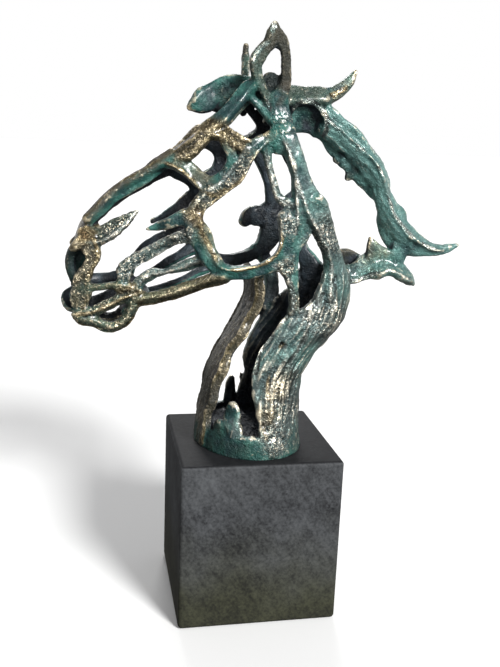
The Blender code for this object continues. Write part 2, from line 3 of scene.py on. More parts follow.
import bmesh
import bpy
import numpy as np
from mathutils import Matrix, Vector, noise
from mathutils.bvhtree import BVHTree
from mathutils.kdtree import KDTree


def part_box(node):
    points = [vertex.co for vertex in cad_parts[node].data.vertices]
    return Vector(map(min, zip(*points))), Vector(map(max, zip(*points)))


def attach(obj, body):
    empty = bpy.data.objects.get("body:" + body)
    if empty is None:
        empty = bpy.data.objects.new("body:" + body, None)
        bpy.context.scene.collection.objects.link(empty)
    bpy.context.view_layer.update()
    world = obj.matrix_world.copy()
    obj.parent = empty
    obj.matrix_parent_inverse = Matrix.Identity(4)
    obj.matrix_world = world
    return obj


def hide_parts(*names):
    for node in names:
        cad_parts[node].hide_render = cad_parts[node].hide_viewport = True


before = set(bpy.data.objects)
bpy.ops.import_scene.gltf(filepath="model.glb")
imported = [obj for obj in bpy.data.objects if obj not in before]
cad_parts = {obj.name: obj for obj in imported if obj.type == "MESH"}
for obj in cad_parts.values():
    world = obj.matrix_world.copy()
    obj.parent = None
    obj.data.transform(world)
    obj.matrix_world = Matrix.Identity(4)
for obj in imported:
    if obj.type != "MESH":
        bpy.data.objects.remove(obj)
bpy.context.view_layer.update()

# ---------------------------------------------------------------------------
# The side walls of the head, cast in bronze from wax straps laid over a form.
# Every strap is a curved bar: its middle line is (x, z, half-width) in
# millimetres, and the form under it gives its distance from the middle plane.

MM = 0.001
SECTION_SIDES = 20
SECTION_STEP = 1.6
SQUARENESS = 0.62
DISH = 0.16
WOBBLE = 0.22
SLIMMEST = 2.2
# The rounded end of a strap: how far out and how big each of its rings is.
END_RINGS = [(0.9, 0.4), (0.6, 0.75)]

FORM_HALF_BREADTH = [
    (-138, 270, 13), (-126, 268, 18), (-128, 240, 16), (-108, 222, 15), (-110, 250, 19), (-100, 288, 16),
    (-122, 298, 11), (-95, 322, 11), (-72, 335, 13), (-60, 263, 21), (-84, 254, 17.5),
    (-76, 278, 17.5), (-53, 298, 26), (-56, 336, 20), (-42, 340, 25), (-42, 362, 22), (-30, 372, 22),
    (-16, 388, 18), (-20, 345, 28), (-20, 300, 32), (10, 290, 33), (5, 355, 26), (8, 378, 20),
    (20, 330, 29), (30, 300, 31), (50, 285, 26), (56, 258, 23), (54, 242, 24), (14, 255, 33),
    (-20, 262, 31),
]
FORM_CORE = [
    (-122, 262), (-100, 272), (-72, 290), (-42, 312), (-12, 322), (8, 335),
    (12, 305), (24, 270), (26, 240), (8, 205), (0, 175), (0, 130),
]

# Each wall strap: thickness, which sides have it (-1 near, 1 far), middle line.
BOTH, NEAR, FAR = (-1, 1), (-1,), (1,)
WALL_STRAPS = {
    "nostril_limb": (3.0, BOTH, [(-126, 288, 4.5), (-122.5, 281, 6.5), (-120.5, 275, 6.5),
        (-119.5, 270, 5), (-123, 263, 4.8), (-127, 255, 6.5), (-127.5, 247, 8), (-129, 240, 7),
        (-130, 235, 5)]),
    "nostril_roof": (3.8, BOTH, [(-117, 287, 4.5), (-124, 283.5, 4.5), (-129.5, 279, 4),
        (-133.5, 276, 3)]),
    "lower_lip": (3.5, BOTH, [(-131, 230, 3.4), (-120, 231.5, 4), (-112, 235, 4), (-104, 239, 4),
        (-96, 242.5, 4.5), (-89, 243, 5)]),
    "chin": (3.5, BOTH, [(-132, 229, 3), (-127, 225.8, 3.8), (-119, 224.4, 4.2), (-112, 220.8, 4.2),
        (-106, 220.2, 4), (-100, 222.8, 4), (-95, 227.8, 4), (-92, 235, 4), (-91, 241, 4.5)]),
    "mouth_corner": (3.8, BOTH, [(-102, 250, 4.5), (-95, 246.5, 6.5), (-88, 245, 5.5)]),
    "lip_line_near": (3.0, NEAR, [(-129, 248.5, 3.5), (-118, 249, 2.6), (-108, 250.5, 2.6),
        (-98, 251, 3.6)]),
    "lip_line_far": (3.0, FAR, [(-129, 249, 4), (-120, 249, 4.2), (-110, 249.5, 4.2), (-103, 251.5, 4.2),
        (-95, 254, 4)]),
    "nostril_leaf": (3.0, NEAR, [(-125, 283, 5), (-117, 284, 7.5), (-110.5, 286.8, 7.8), (-104.8, 291, 7),
        (-98.5, 295.3, 5), (-89.8, 302, 1.4)]),
    "nose_wall_near": (3.0, NEAR, [(-124, 296, 4), (-117, 303, 4), (-108, 312.5, 4), (-98, 321, 3.6),
        (-86, 328, 4), (-75, 335.5, 5), (-65, 342, 6)]),
    "nose_flank": (2.2, NEAR, [(-122.6, 294.6, 2.4), (-115.6, 301.6, 2.4), (-106.6, 311.1, 2.4),
        (-96.6, 319.6, 2.4), (-84.9, 326.3, 2.4), (-74, 333.6, 2.6), (-64, 340.3, 3)]),
    "nose_wall_far": (3.0, FAR, [(-123, 292, 5), (-114, 299, 5), (-105, 308, 6), (-93, 316.5, 7.5),
        (-80, 325, 8), (-68, 331, 8), (-58, 334, 8)]),
    "upper_bar_near": (3.4, NEAR, [(-98.5, 252, 4), (-98.5, 261, 5), (-94.8, 265.7, 4.6),
        (-87.5, 270.5, 4.3), (-78, 275.8, 4.2), (-69, 281, 4.3), (-60, 285.3, 4.5), (-51, 288.5, 5)]),
    "upper_bar_far": (3.4, FAR, [(-93, 254, 4), (-90.5, 262, 4), (-82.4, 272, 3.8), (-75.6, 277.6, 3.8),
        (-68, 281.8, 3.8), (-60, 285.5, 3.8), (-51, 290, 5)]),
    "middle_bar_near": (3.4, NEAR, [(-93, 247, 4), (-85, 254.5, 4.2), (-79, 258.8, 4),
        (-71.3, 260.3, 2.2), (-64.2, 262.6, 2.8), (-57, 264.9, 4), (-49, 267.7, 4.8), (-41, 270.5, 5)]),
    "middle_bar_far": (3.4, FAR, [(-90, 245, 4), (-80, 251, 3.6), (-70.6, 257.1, 3.4), (-63, 262, 3.6),
        (-54.5, 266.9, 3.8), (-44, 273, 5)]),
    "jaw_bar_near": (3.8, NEAR, [(-92, 240, 4.5), (-80, 241.5, 4.5), (-70, 244, 4.5), (-60, 247, 4.5),
        (-50, 251, 5), (-40, 255.5, 5.5), (-28, 259, 5)]),
    "jaw_bar_far": (3.2, FAR, [(-92, 239, 4), (-82, 239.5, 3), (-72.3, 241.4, 2.6), (-60.8, 244.9, 2.6),
        (-48.4, 249.8, 3), (-36.8, 254.5, 4), (-27, 259, 5)]),
    "cheek_ring": (5.0, BOTH, [(-52, 303, 5.5), (-51.5, 292, 5.5), (-45.5, 280, 5.5), (-38, 268.5, 5),
        (-27, 263, 5), (-13, 262.5, 5), (-1, 265.5, 5), (8, 271, 5), (13.5, 279, 5.5), (15, 288, 6),
        (14, 297, 5.5), (12.5, 303, 6)]),
    "cheek_leaf": (3.8, NEAR, [(-50, 300, 6), (-58, 299.5, 6), (-66, 296.5, 4.5), (-75, 292.5, 3),
        (-82, 290.5, 1.2)]),
    "far_leaf": (3.5, FAR, [(-45, 311, 6), (-52, 306, 4.6), (-59, 300.5, 3.6), (-67, 296.3, 2.8),
        (-76, 292.6, 1.8)]),
    "cheek_swell": (4.5, NEAR, [(-48, 296, 4), (-44, 288.5, 6), (-42, 282, 6), (-38.5, 275, 5),
        (-33, 268.5, 4)]),
    "cheekbone": (4.2, BOTH, [(-4, 354, 4.5), (-12.5, 347, 5), (-18, 338, 5.5), (-24, 329, 6.5),
        (-32, 321.5, 6.5), (-40, 315.5, 6), (-48, 308, 6), (-51, 299, 6)]),
    "under_eye_near": (3.8, NEAR, [(-70, 337.5, 5.5), (-62, 336, 5.5), (-53, 331, 5), (-46, 325, 5.5),
        (-38, 321, 7), (-31, 323, 6)]),
    "under_eye_far": (3.8, FAR, [(-66, 334, 7), (-57, 331, 8), (-49, 326, 7), (-43, 318, 6.5),
        (-44, 309, 6)]),
    "eye_ring": (3.0, BOTH, [(-31, 355, 4), (-28, 347.5, 4), (-25.8, 340, 4), (-29, 331, 4),
        (-37, 325.5, 4)]),
    "lower_brow": (4.2, BOTH, [(-64, 339, 5), (-56, 343.5, 6), (-49, 349.5, 5.5), (-43, 356.5, 6),
        (-36, 358.5, 6.5), (-29, 355.5, 5.4), (-21, 351, 5), (-13, 348.5, 5), (-5, 352, 4.4),
        (4, 358, 5)]),
    "brow_near": (4.0, NEAR, [(-44, 359, 6), (-36, 364, 5.4), (-29, 370, 5), (-22.5, 378, 5),
        (-16, 386, 5.5), (-9, 392, 5)]),
    "brow_far": (4.0, FAR, [(-58, 338.5, 5), (-47.5, 350, 5.5), (-40.5, 357.5, 5.5), (-32, 364.5, 5.5),
        (-24.5, 371.5, 5.5), (-17, 379.5, 5.5), (-10, 387, 5.5)]),
    "far_socket": (3.6, FAR, [(-50, 346, 5), (-42, 350.5, 5), (-33, 349, 5), (-25.5, 344, 5),
        (-21, 336, 4.5)]),
    "temple_strut": (3.8, BOTH, [(-19, 386, 3.2), (-11, 381, 3), (-4, 374, 3), (4, 366, 3.5)]),
    "poll_side": (5.0, BOTH, [(8, 386, 6), (7.5, 376, 6.5), (9, 366, 8), (9, 356, 9.5), (8, 349, 8)]),
    "jaw_back": (5.0, NEAR, [(12, 362, 7), (15.5, 350, 6), (20, 339, 5), (22, 328, 5.5), (24, 316, 7),
        (25.5, 303, 8), (24.5, 291, 7)]),
    "jaw_root": (5.0, BOTH, [(38, 313, 7), (29, 303, 8), (24.5, 291, 7), (19, 280, 5.5), (13, 271, 4.5)]),
    "cheek_strut": (3.8, NEAR, [(-3, 352, 4), (-1, 343, 3), (1, 335, 2.6), (4.3, 325, 2.6), (7, 317, 3),
        (13, 312, 4), (20, 311, 4)]),
    "far_strut": (4.5, FAR, [(0, 350, 4.5), (3.5, 342, 4), (10, 331.5, 4), (14.5, 320, 4.5), (16, 310, 5),
        (16, 300, 6.5)]),
    "far_hook": (5.5, FAR, [(18, 297, 7.5), (8, 297, 8), (0, 296, 8), (-4, 292.5, 5.5)]),
    "crest_near": (5.0, NEAR, [(9, 371, 6), (13, 357, 7.5), (18.5, 343, 6.5), (24, 328, 6.5),
        (30, 315, 8.5), (37, 303, 10), (43, 292, 9), (48.5, 280, 7.5), (53, 268, 9), (55, 257, 11),
        (55, 248, 12), (53, 238, 11)]),
    "crest_far": (5.0, FAR, [(14, 360, 7), (22, 352, 6), (31, 341, 6), (37.5, 328, 6), (40, 315, 7),
        (39, 303, 7), (36.5, 292, 7), (36, 282, 7), (40, 272, 7), (46, 264, 8), (50, 256, 9),
        (54, 248, 9)]),
    "strut_web": (3.5, NEAR, [(20, 286, 4), (19.8, 276, 4), (20, 264, 3.8), (21.5, 252, 3.4)]),
    "throat_strut": (3.8, NEAR, [(7, 270, 4.5), (13.5, 265.5, 4.5), (18.5, 257, 3.6), (21.5, 248, 3.4),
        (22.5, 238, 4), (22, 232, 3.5)]),
    "far_throat": (3.8, FAR, [(4, 271, 5), (12, 265.5, 5.5), (17, 257, 5.5), (19, 248, 5.5),
        (19.3, 238, 5.5), (17, 226, 6)]),
}

# Raised lines along a strap: how far to the right of its middle line, as a share of
# its half-width and seen from the near side, then their half-width and their wax.
RIMS = {
    "nose_wall_near": ((0.1, 1.0, "gold"),),
    "nose_wall_far": ((0.1, 1.0, "gold"),),
    "nostril_limb": ((-0.6, 0.9, "gold"),),
    "nostril_leaf": ((0.7, 1.0, "silver"),),
    "lower_lip": ((-0.7, 0.9, "gold"),),
    "chin": ((0.6, 0.9, "gold"),),
    "upper_bar_near": ((0.7, 0.9, "silver"),),
    "middle_bar_near": ((-0.5, 0.9, "silver"),),
    "jaw_bar_near": ((0.7, 1.0, "gold"),),
    "cheek_ring": ((-0.85, 0.9, "gold"),),
    "cheekbone": ((-0.85, 1.0, "gold"), (0.5, 0.8, "silver")),
    "under_eye_near": ((0.85, 0.9, "gold"),),
    "lower_brow": ((-0.7, 1.2, "gold"),),
    "brow_near": ((-0.7, 1.0, "teal"),),
    "jaw_back": ((0.8, 0.9, "silver"),),
    "crest_near": ((0.8, 1.0, "silver"),),
    "crest_far": ((0.8, 1.0, "silver"),),
    "cheek_strut": ((0.3, 0.8, "silver"),),
    "throat_strut": ((0.3, 1.0, "silver"),),
    "throat": ((0.9, 1.8, "gold"), (-0.9, 1.5, "gold")),
    "mane_fold": ((0.85, 1.0, "silver"),),
    "spike_lock": ((0.2, 1.0, "gold"),),
    "neck_lock": ((0.75, 1.1, "silver"),),
    "ear_front_rim": ((0.5, 0.7, "silver"),),
}

casting = bmesh.new()
guides = []
lines = []
GUIDE_GAP = 6.0
RIM_WOBBLE = 0.6
RIM_TAPER = 5
RIM_RISE = 0.85


def curve(points, step):
    """Samples of a smooth curve through the points about every step, all columns alike."""
    rows = [Vector(p) for p in points]
    ends = [2 * rows[0] - rows[1]] + rows + [2 * rows[-1] - rows[-2]]
    samples = []
    for a, b, c, d in zip(ends, ends[1:], ends[2:], ends[3:]):
        count = max(1, round((c - b).length / step))
        for i in range(count):
            t = i / count
            samples.append(0.5 * (2 * b + (c - a) * t + (2 * a - 5 * b + 4 * c - d) * t ** 2
                                  + (3 * b - a - 3 * c + d) * t ** 3))
    return samples + [rows[-1]]


core_line = [Vector((x, 0, z)) for x, z in curve(FORM_CORE, 4)]


def breadth(x, z):
    """Half the breadth of the form at (x, z), blended from the stations around it."""
    total = weight = 0.0
    for sx, sz, half in FORM_HALF_BREADTH:
        near = 1 / ((x - sx) ** 2 + (z - sz) ** 2 + 9) ** 2
        total += near * half
        weight += near
    return total / weight


def outward(point):
    """The direction away from the core line, flattened so that walls face mostly sideways."""
    level = Vector((point.x, 0, point.z))
    nearest = min(core_line, key=lambda c: (c - level).length_squared)
    away = point - nearest
    return Vector((0.5 * away.x, away.y, 0.5 * away.z)).normalized()


def loft(rings):
    """Skins a row of closed rings of points, with a cap at each end, into the casting."""
    bar = bmesh.new()
    verts = [bar.verts.new(p * MM) for p in rings[0]]
    edges = [bar.edges.new(pair) for pair in zip(verts, verts[1:] + verts[:1])]
    bmesh.ops.contextual_create(bar, geom=edges)
    for ring in rings[1:]:
        made = set(bmesh.ops.extrude_edge_only(bar, edges=edges)["geom"])
        verts = [next(e.other_vert(v) for e in v.link_edges if e.other_vert(v) in made)
                 for v in verts]
        for vert, place in zip(verts, ring):
            vert.co = place * MM
        edges = [bar.edges.get(pair) for pair in zip(verts, verts[1:] + verts[:1])]
    bmesh.ops.contextual_create(bar, geom=edges)
    bmesh.ops.recalc_face_normals(bar, faces=bar.faces)
    skin = bpy.data.meshes.new("strap")
    bar.to_mesh(skin)
    bar.free()
    casting.from_mesh(skin)
    bpy.data.meshes.remove(skin)


def squared(value):
    """Squares up an oval, so that a strap has a face and two edges."""
    return math.copysign(abs(value) ** SQUARENESS, value)


def section(centre, side, normal, half_width, half_thickness, bend):
    """One ring of a strap: its outer face dished between two rims, its flanks bent back."""
    ring = []
    for i in range(SECTION_SIDES):
        angle = math.tau * i / SECTION_SIDES
        share = squared(math.cos(angle))
        lift = half_thickness * squared(math.sin(angle))
        if lift > 0:
            lift -= DISH * half_thickness * (1 - share ** 2)
        across = half_width * share
        ring.append(centre + side * across + normal * (lift - bend * across ** 2 / 2))
    return ring


def guide(name, centre, along, side, travelled, half_width):
    """Notes which strap runs here and which way, at places across its width."""
    count = 2 * round(half_width / GUIDE_GAP / 2) + 1
    for share in np.linspace(-0.7, 0.7, count) if count > 1 else (0.0,):
        offset = share * half_width
        guides.append((name, centre + side * offset, along, side, travelled, offset))


def raised_line(wax, points, half, facing):
    """Lofts a thin line that stands proud, and notes the wax rubbed on it."""
    last = len(points) - 1
    rings = []
    for i, point in enumerate(points):
        along = (points[min(i + 1, last)] - points[max(i - 1, 0)]).normalized()
        normal = facing(point)
        normal = (normal - along * normal.dot(along)).normalized()
        size = half * (1 + RIM_WOBBLE * noise.noise(point / 12))
        size *= min(1, (i + 1) / RIM_TAPER, (last - i + 1) / RIM_TAPER)
        rings.append(section(point, along.cross(normal), normal, size, size, 0.0))
        lines.append((wax, point + normal * size))
    loft(rings)


def strap(name, path, thickness, facing, bend=0.0):
    """Lofts one strap along path, rows (x, y, z, half-width), with rounded ends."""
    samples = curve(path, SECTION_STEP)
    centres = [Vector(s[:3]) for s in samples]
    last = len(centres) - 1
    travelled = 0.0
    rings = []
    rims = [[] for _ in RIMS.get(name, ())]
    for i, (centre, sample) in enumerate(zip(centres, samples)):
        along = (centres[min(i + 1, last)] - centres[max(i - 1, 0)]).normalized()
        normal = facing(centre)
        normal = (normal - along * normal.dot(along)).normalized()
        side = along.cross(normal)
        width = max(sample[3], 1.0) * (1 + WOBBLE * noise.noise(centre / 15))
        deep = min(thickness, max(width, SLIMMEST))
        guide(name, centre, along, side, travelled, width)
        travelled += SECTION_STEP
        hand = -1 if normal.y > 0 else 1
        for rim, (share, *_) in zip(rims, RIMS.get(name, ())):
            across = hand * share * width
            rim.append(centre + side * across + normal * (RIM_RISE * deep - bend * across ** 2 / 2))
        if i == 0:
            for reach, share in END_RINGS:
                rings.append(section(centre - along * deep * reach, side, normal,
                                     width * share, deep * share, bend))
        rings.append(section(centre, side, normal, width, deep, bend))
        if i == last:
            for reach, share in reversed(END_RINGS):
                rings.append(section(centre + along * deep * reach, side, normal,
                                     width * share, deep * share, bend))
    loft(rings)
    for rim, (_, half, wax) in zip(rims, RIMS.get(name, ())):
        raised_line(wax, rim, half, facing)


for name, (thickness, sides, points) in WALL_STRAPS.items():
    for side in sides:
        path = [(x, side * breadth(x, z), z, half) for x, z, half in points]
        strap(name, path, thickness, outward)

# ---------------------------------------------------------------------------
# The plates that cross the middle plane, from one wall to the other: the nose,
# the forehead, the muzzle with its lips, and the long plate down the throat.
# Rows are (x, z, half the width) of the outer face, then come the tie bars.

CROSS_STRAPS = {
    "nose_ridge": (3.2, 0.05, [(-130.5, 285, 10), (-128.5, 291, 11), (-124.8, 298, 12), (-117, 306, 12.5),
        (-108, 315, 12.5), (-95, 323.5, 12.5), (-82, 332, 13), (-70, 341, 14), (-58, 350, 15),
        (-47, 358.5, 17)]),
    "forehead": (3.2, 0.02, [(-58, 348, 12), (-46, 355, 15), (-36, 362, 14), (-27, 371.5, 13),
        (-17, 383, 14), (-6, 391, 15), (4, 389, 15)]),
    "muzzle": (3.4, 0.04, [(-129.5, 286, 12), (-133.5, 280, 11), (-137.8, 273, 9.5), (-139.8, 264.5, 9.5),
        (-138.6, 256, 11), (-135.6, 249, 12.5), (-133.2, 246, 13)]),
    "upper_lip": (4.0, 0.03, [(-133.5, 250, 12), (-133, 244, 9), (-133.5, 238, 8)]),
    "lower_jaw": (2.6, 0.03, [(-132, 230, 9), (-127, 225.5, 12), (-120, 223, 13)]),
    "jaw_floor": (2.8, 0.02, [(-96, 226, 14), (-90, 235, 17), (-80, 240, 19)]),
    "poll": (4.5, 0.02, [(-8, 391, 16), (4, 386, 19), (14, 379, 17)]),
    "throat": (3.9, 0.013, [(-43, 130, 24), (-41, 150, 23), (-38, 166, 22.5), (-35, 181, 22),
        (-28.5, 197, 22), (-20, 213, 21.5), (-11.5, 229, 21), (-7.2, 240, 22), (-7, 249, 25),
        (-9.5, 258, 29)]),
}
TIE_BARS = {
    "nape": (4.0, [(36, -22, 303, 7), (45, -13, 306, 6), (49, 0, 307, 6), (48, 13, 305, 6),
                   (42, 22, 303, 7)]),
    "lip_roll": (2.6, [(-131, 6, 242, 6), (-134.8, 7, 238.5, 7), (-136.6, 7, 235.5, 7),
                       (-136.5, 7, 232, 7), (-133, 7, 229.5, 6)]),
}

for name, (thickness, bend, points) in CROSS_STRAPS.items():
    path = []
    for x, z, half in points:
        face = Vector((x, 0, z))
        path.append((*(face - outward(face) * thickness), half))
    strap(name, path, thickness, outward, bend)
for name, (thickness, points) in TIE_BARS.items():
    strap(name, points, thickness, outward)

# ---------------------------------------------------------------------------
# Forelock, mane and their torn tips, pulled from thin sheets of wax and stood
# in the middle plane. Rows are (x, z, half-width, y) with half the thickness.

TOWARDS = (0.0, -1.0, 0.0)
LIT = (0.5, -0.75, 0.45)
SHADED = (-0.32, -0.92, -0.25)
STEEP = (-0.5, -0.8, -0.35)
LOCKS = {
    "forelock": (3.0, SHADED, [(-6, 391, 6, 0), (-18, 393, 5.5, 0), (-29, 390.2, 6.5, -1),
        (-38.5, 382.5, 8.8, -3), (-46, 377.2, 7.2, -5), (-53, 374, 2.6, -6)]),
    "forelock_root": (4.5, TOWARDS, [(-34, 375.5, 4, 0), (-24, 382, 6.5, 0), (-12, 389, 7, 0)]),
    "septum": (2.5, TOWARDS, [(-124, 288, 4.5, 0), (-128, 279, 4.5, 0), (-130, 268, 6, 0),
        (-128, 256, 6, 0)]),
    "short_lock": (4.0, LIT, [(4, 384, 8, 0), (18, 385.5, 8, -1), (32, 386, 7.5, -3),
        (45, 386.5, 6.5, -3)]),
    "spike_lock": (3.5, LIT, [(36, 384, 8, -1), (48, 387, 7, 0), (57, 391.5, 5.4, 1), (64, 398, 3.4, 2),
        (68, 404.5, 1.3, 2)]),
    "long_lock": (3.4, SHADED, [(6, 376, 12, 1), (18, 373, 12, 3), (30, 372.5, 13, 4), (42, 370, 13, 2),
        (52, 364, 13, 0), (62, 355, 13.5, 0), (70.5, 345.5, 13.5, 0), (80, 334, 12, 1), (89, 325, 9, 2),
        (96, 317, 6.5, 2), (100, 309.5, 6.5, 2), (103, 300, 10, 2), (106.5, 290, 10.5, 1),
        (114, 281, 9.5, 0), (126, 277.5, 6.5, -1), (140, 276.3, 4, -2), (151, 278, 2.7, -2),
        (157.5, 280.3, 1.2, -2)]),
    "mane_fold": (2.6, LIT, [(47, 372.5, 5.5, -2), (54, 367, 5.5, -3), (60, 363.5, 5.5, -3.5),
        (66, 358.5, 5.5, -3.5), (72, 354.5, 5.5, -3.5), (78, 350, 5.5, -3.5), (84, 345, 5.5, -3.5),
        (89, 339, 5.5, -3.5), (94, 330, 4.5, -3), (98.5, 317, 4, -2.5), (105, 304, 5, -2.5),
        (113.5, 294, 5, -3), (125, 284.5, 4.2, -3), (137, 278.5, 3, -3.5), (148, 278, 2, -3)]),
    "mane_slope": (2.6, STEEP, [(44, 366, 5, -2), (49, 361, 5.5, -3), (55, 357.5, 5.5, -3),
        (61, 352, 5.5, -3), (68, 347.5, 5.5, -3), (74, 342, 5.5, -3), (80, 337, 5.5, -3),
        (85, 331, 5, -3), (89.5, 324, 4.2, -2.5), (94, 312, 4, -2), (100, 299, 5, -2), (108, 288, 5, -2),
        (118, 280, 3.5, -2)]),
    "mane_crown": (4.2, LIT, [(44, 376, 6, 0), (54, 369, 7.5, 0), (63, 364, 8, 1), (71, 358.5, 8, 1),
        (77, 351, 6.5, 1)]),
    "flake_high": (2.6, SHADED, [(68, 353, 6, 1), (61, 346, 5.5, 2), (58, 341.5, 3, 3)]),
    "flake_low": (2.6, SHADED, [(78, 341, 7, 1), (71, 333, 6, 3), (68, 329, 3, 4)]),
    "neck_lock": (4.0, LIT, [(56, 256, 7, 0), (66, 256, 7, 0), (76, 257, 8, 0), (87, 263, 10, 0),
        (98, 265, 11.5, -1), (108, 262.5, 8.5, -2), (116, 257.5, 7, -2), (122, 252.5, 4.5, -2),
        (125, 250, 1.8, -2)]),
    "neck_spike": (3.5, TOWARDS, [(99, 262, 14, 0), (94.5, 270, 11, 0), (91, 277, 7, 0),
        (88, 284, 2.2, 0)]),
    "lock_link": (4.0, TOWARDS, [(108, 263, 6, 0), (111, 272, 7, 0), (112, 280, 6, 0)]),
    "crest_spur": (4.0, TOWARDS, [(60, 263, 6, 8), (67, 268, 6, 9), (75, 269, 5.5, 9),
        (83, 265.5, 4.5, 8), (89, 261, 3, 6)]),
    "jag_low": (3.5, LIT, [(97, 306, 5, 1), (105, 307.5, 4.5, 1), (112, 303.5, 4, 1),
        (111.5, 295, 5, 1)]),
}
# The rim of the hollow under the sheet behind the ears.
HOLLOW_RIM = [(20, 371, 1), (21, 375, -2), (24, 380, -5), (29, 382.4, -6), (35.5, 381.3, -6),
              (41.7, 376.7, -6), (45.5, 371.3, -6), (46.3, 364.3, -5), (45.6, 358, -2)]
HOLLOW_RIM_HALF = 1.7


def fixed(direction):
    """A facing that is the same all along a strap."""
    vector = Vector(direction).normalized()
    return lambda centre: vector


for name, (thickness, facing, points) in LOCKS.items():
    strap(name, [(x, y, z, half) for x, z, half, y in points], thickness, fixed(facing))
samples = [Vector(p) for p in curve([(x, y, z) for x, z, y in HOLLOW_RIM], SECTION_STEP)]
raised_line("silver", samples, HOLLOW_RIM_HALF, fixed(TOWARDS))
# The folds stand out of the far face of the mane as well.
for name in ("mane_fold", "mane_slope"):
    thickness, (x_tilt, y_tilt, z_tilt), points = LOCKS[name]
    strap(name, [(x, -y, z, half) for x, z, half, y in points], thickness,
          fixed((x_tilt, -y_tilt, z_tilt)))

# ---------------------------------------------------------------------------
# The two ears: a leaf with a hole through it, and a shallow bowl at the root.
# Rows are (across, up from the root, half-width) in the ear's own plane, and
# each ear stands at (x, y, z) turned by degrees and scaled.

EAR_PARTS = {
    "front_rim": (3.0, 0.0, [(2, 52, 1.6), (0, 42, 4.2), (-6.5, 34, 4.4), (-10, 26.5, 4), (-9, 19, 3.6),
        (-5, 11, 3.6), (0, 3, 4), (4, -4, 4)]),
    "back_rim": (3.0, 0.0, [(2.5, 52, 1.6), (7.5, 42, 4.2), (10.5, 33, 3.5), (11, 24, 3.3), (11, 15, 4),
        (9, 7, 4.4), (6, -3, 5)]),
    "tip": (2.2, 0.0, [(2, 52.5, 2.6), (2, 48, 5.4), (2, 43, 7), (2, 39, 7)]),
    "bowl": (2.2, 4.0, [(1.5, 20, 5), (1.5, 12, 6), (3, 2, 5)]),
}
EARS = {"near": ((0.0, -20.0, 378.0), 0.0, 1.0), "far": ((-9.0, 24.0, 377.0), 80.0, 0.83)}

for root, turn, scale in EARS.values():
    angle = math.radians(turn)
    across = Vector((math.cos(angle), math.sin(angle), 0))
    face = Vector((math.sin(angle), -math.cos(angle), 0))
    for name, (thickness, depth, points) in EAR_PARTS.items():
        foot = Vector(root) - face * depth
        path = [(*(foot + scale * (across * u + Vector((0, 0, v)))), half * scale)
                for u, v, half in points]
        strap("ear_" + name, path, thickness, lambda centre, face=face: face)

# ---------------------------------------------------------------------------
# The neck, a hollow trunk open at the front between the throat plate and the
# back wall, and the egg-shaped foot that it stands on.
# Trunk rows are (height, front, back, half breadth) of its outer surface.

TRUNK = [
    (128, -43.5, 38.0, 51.5), (136, -43.0, 36.5, 50.5), (146, -41.5, 35.5, 47.5),
    (158, -39.5, 35.0, 43.5), (170, -38.0, 35.5, 40.5), (184, -35.0, 37.0, 38.0),
    (198, -29.5, 45.5, 36.5), (210, -24.0, 55.5, 35.5), (218, -20.0, 64.0, 35.0),
    (226, -15.5, 69.0, 34.0), (240, -9.0, 72.0, 32.0), (252, -6.0, 72.5, 31.0),
    (264, -4.0, 69.0, 30.0),
]
BACK_WALL_EDGES = [
    (130, -1.0, 2.0), (146, -1.5, -3.0), (158, -3.0, -1.0), (170, -6.0, 2.0),
    (184, -7.5, 0.0), (198, -4.0, 3.0), (206, 1.0, 6.0), (216, 7.5, 11.0),
    (226, 14.0, 14.0), (232, 19.0, 18.0), (236, 30.0, 28.0), (241, 37.0, 34.0),
    (254, 43.0, 40.0), (262, 46.0, 44.0),
]
WALL = 6.0
NECK_STEP = 3.0
WALL_SIDES = 48
FOOT_SIDES = 96
STUB_SIDES = 16
HALF_ROUND = 1.7
WIDEST_SHARE = 0.52
BACK_POWER = 0.87
FRONT_POWER = 1.05
FOOT_HEIGHT = 12.0
FOOT_TOP = 143.0
BACK_WALL_TOP = 261.0
BROAD_END = 3.0
OPEN_TURN = 2.1
GIRTH = 42
STUBS = [(-1, -21.5, 6.5, 166.5), (1, -10.0, 5.5, 167.0)]
# Raised lines that run down the outside of the trunk: (x, z) along each, and its wax.
TRUNK_LINES = [
    ("silver", 1.2, [(18, 231), (12.4, 223.5), (7, 216), (2, 208.7), (-2.2, 201.3), (-5, 190)]),
    ("gold", 1.1, [(14, 211), (9.3, 201), (5.7, 192.7), (4.5, 186), (4.4, 177.6), (6, 165), (5, 154)]),
    ("silver", 0.9, [(14, 211), (17.5, 206.8), (17.4, 202.3), (14, 194)]),
    ("silver", 1.2, [(35.4, 228.5), (32.6, 221), (30.2, 213.7), (23.8, 204.8), (19.2, 195.8),
        (16.2, 187.8), (15.5, 176), (16, 165)]),
    ("silver", 1.7, [(52.3, 262), (51.8, 256), (52.5, 248.5), (52, 234), (50, 226), (44, 219)]),
    ("silver", 1.1, [(44, 247), (42, 237), (38, 229)]),
    ("gold", 0.9, [(-1.5, 170), (0.5, 160), (1, 150), (3, 143)]),
]
SLOT_SILLS = [(-1, -30.0, 5.0, 152.0), (1, -29.0, 6.0, 150.0)]
seat_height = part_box("plinth")[1].z / MM


def interpolate(table, at, column):
    """The table's column at a height between its rows."""
    return float(np.interp(at, [row[0] for row in table], [row[column] for row in table]))


def trunk_point(z, turn, inset):
    """A point of the trunk at height z, turned from the back (0) over the near side."""
    front, back, half = (interpolate(TRUNK, z, column) for column in (1, 2, 3))
    middle = front + WIDEST_SHARE * (back - front)
    c, s = math.cos(turn), math.sin(turn)
    power = BACK_POWER if c > 0 else FRONT_POWER
    length = (back - middle if c > 0 else middle - front) - inset
    return Vector((middle + math.copysign(abs(c) ** power * length, c),
                   -math.copysign(abs(s) ** power * (half - inset), s), z))


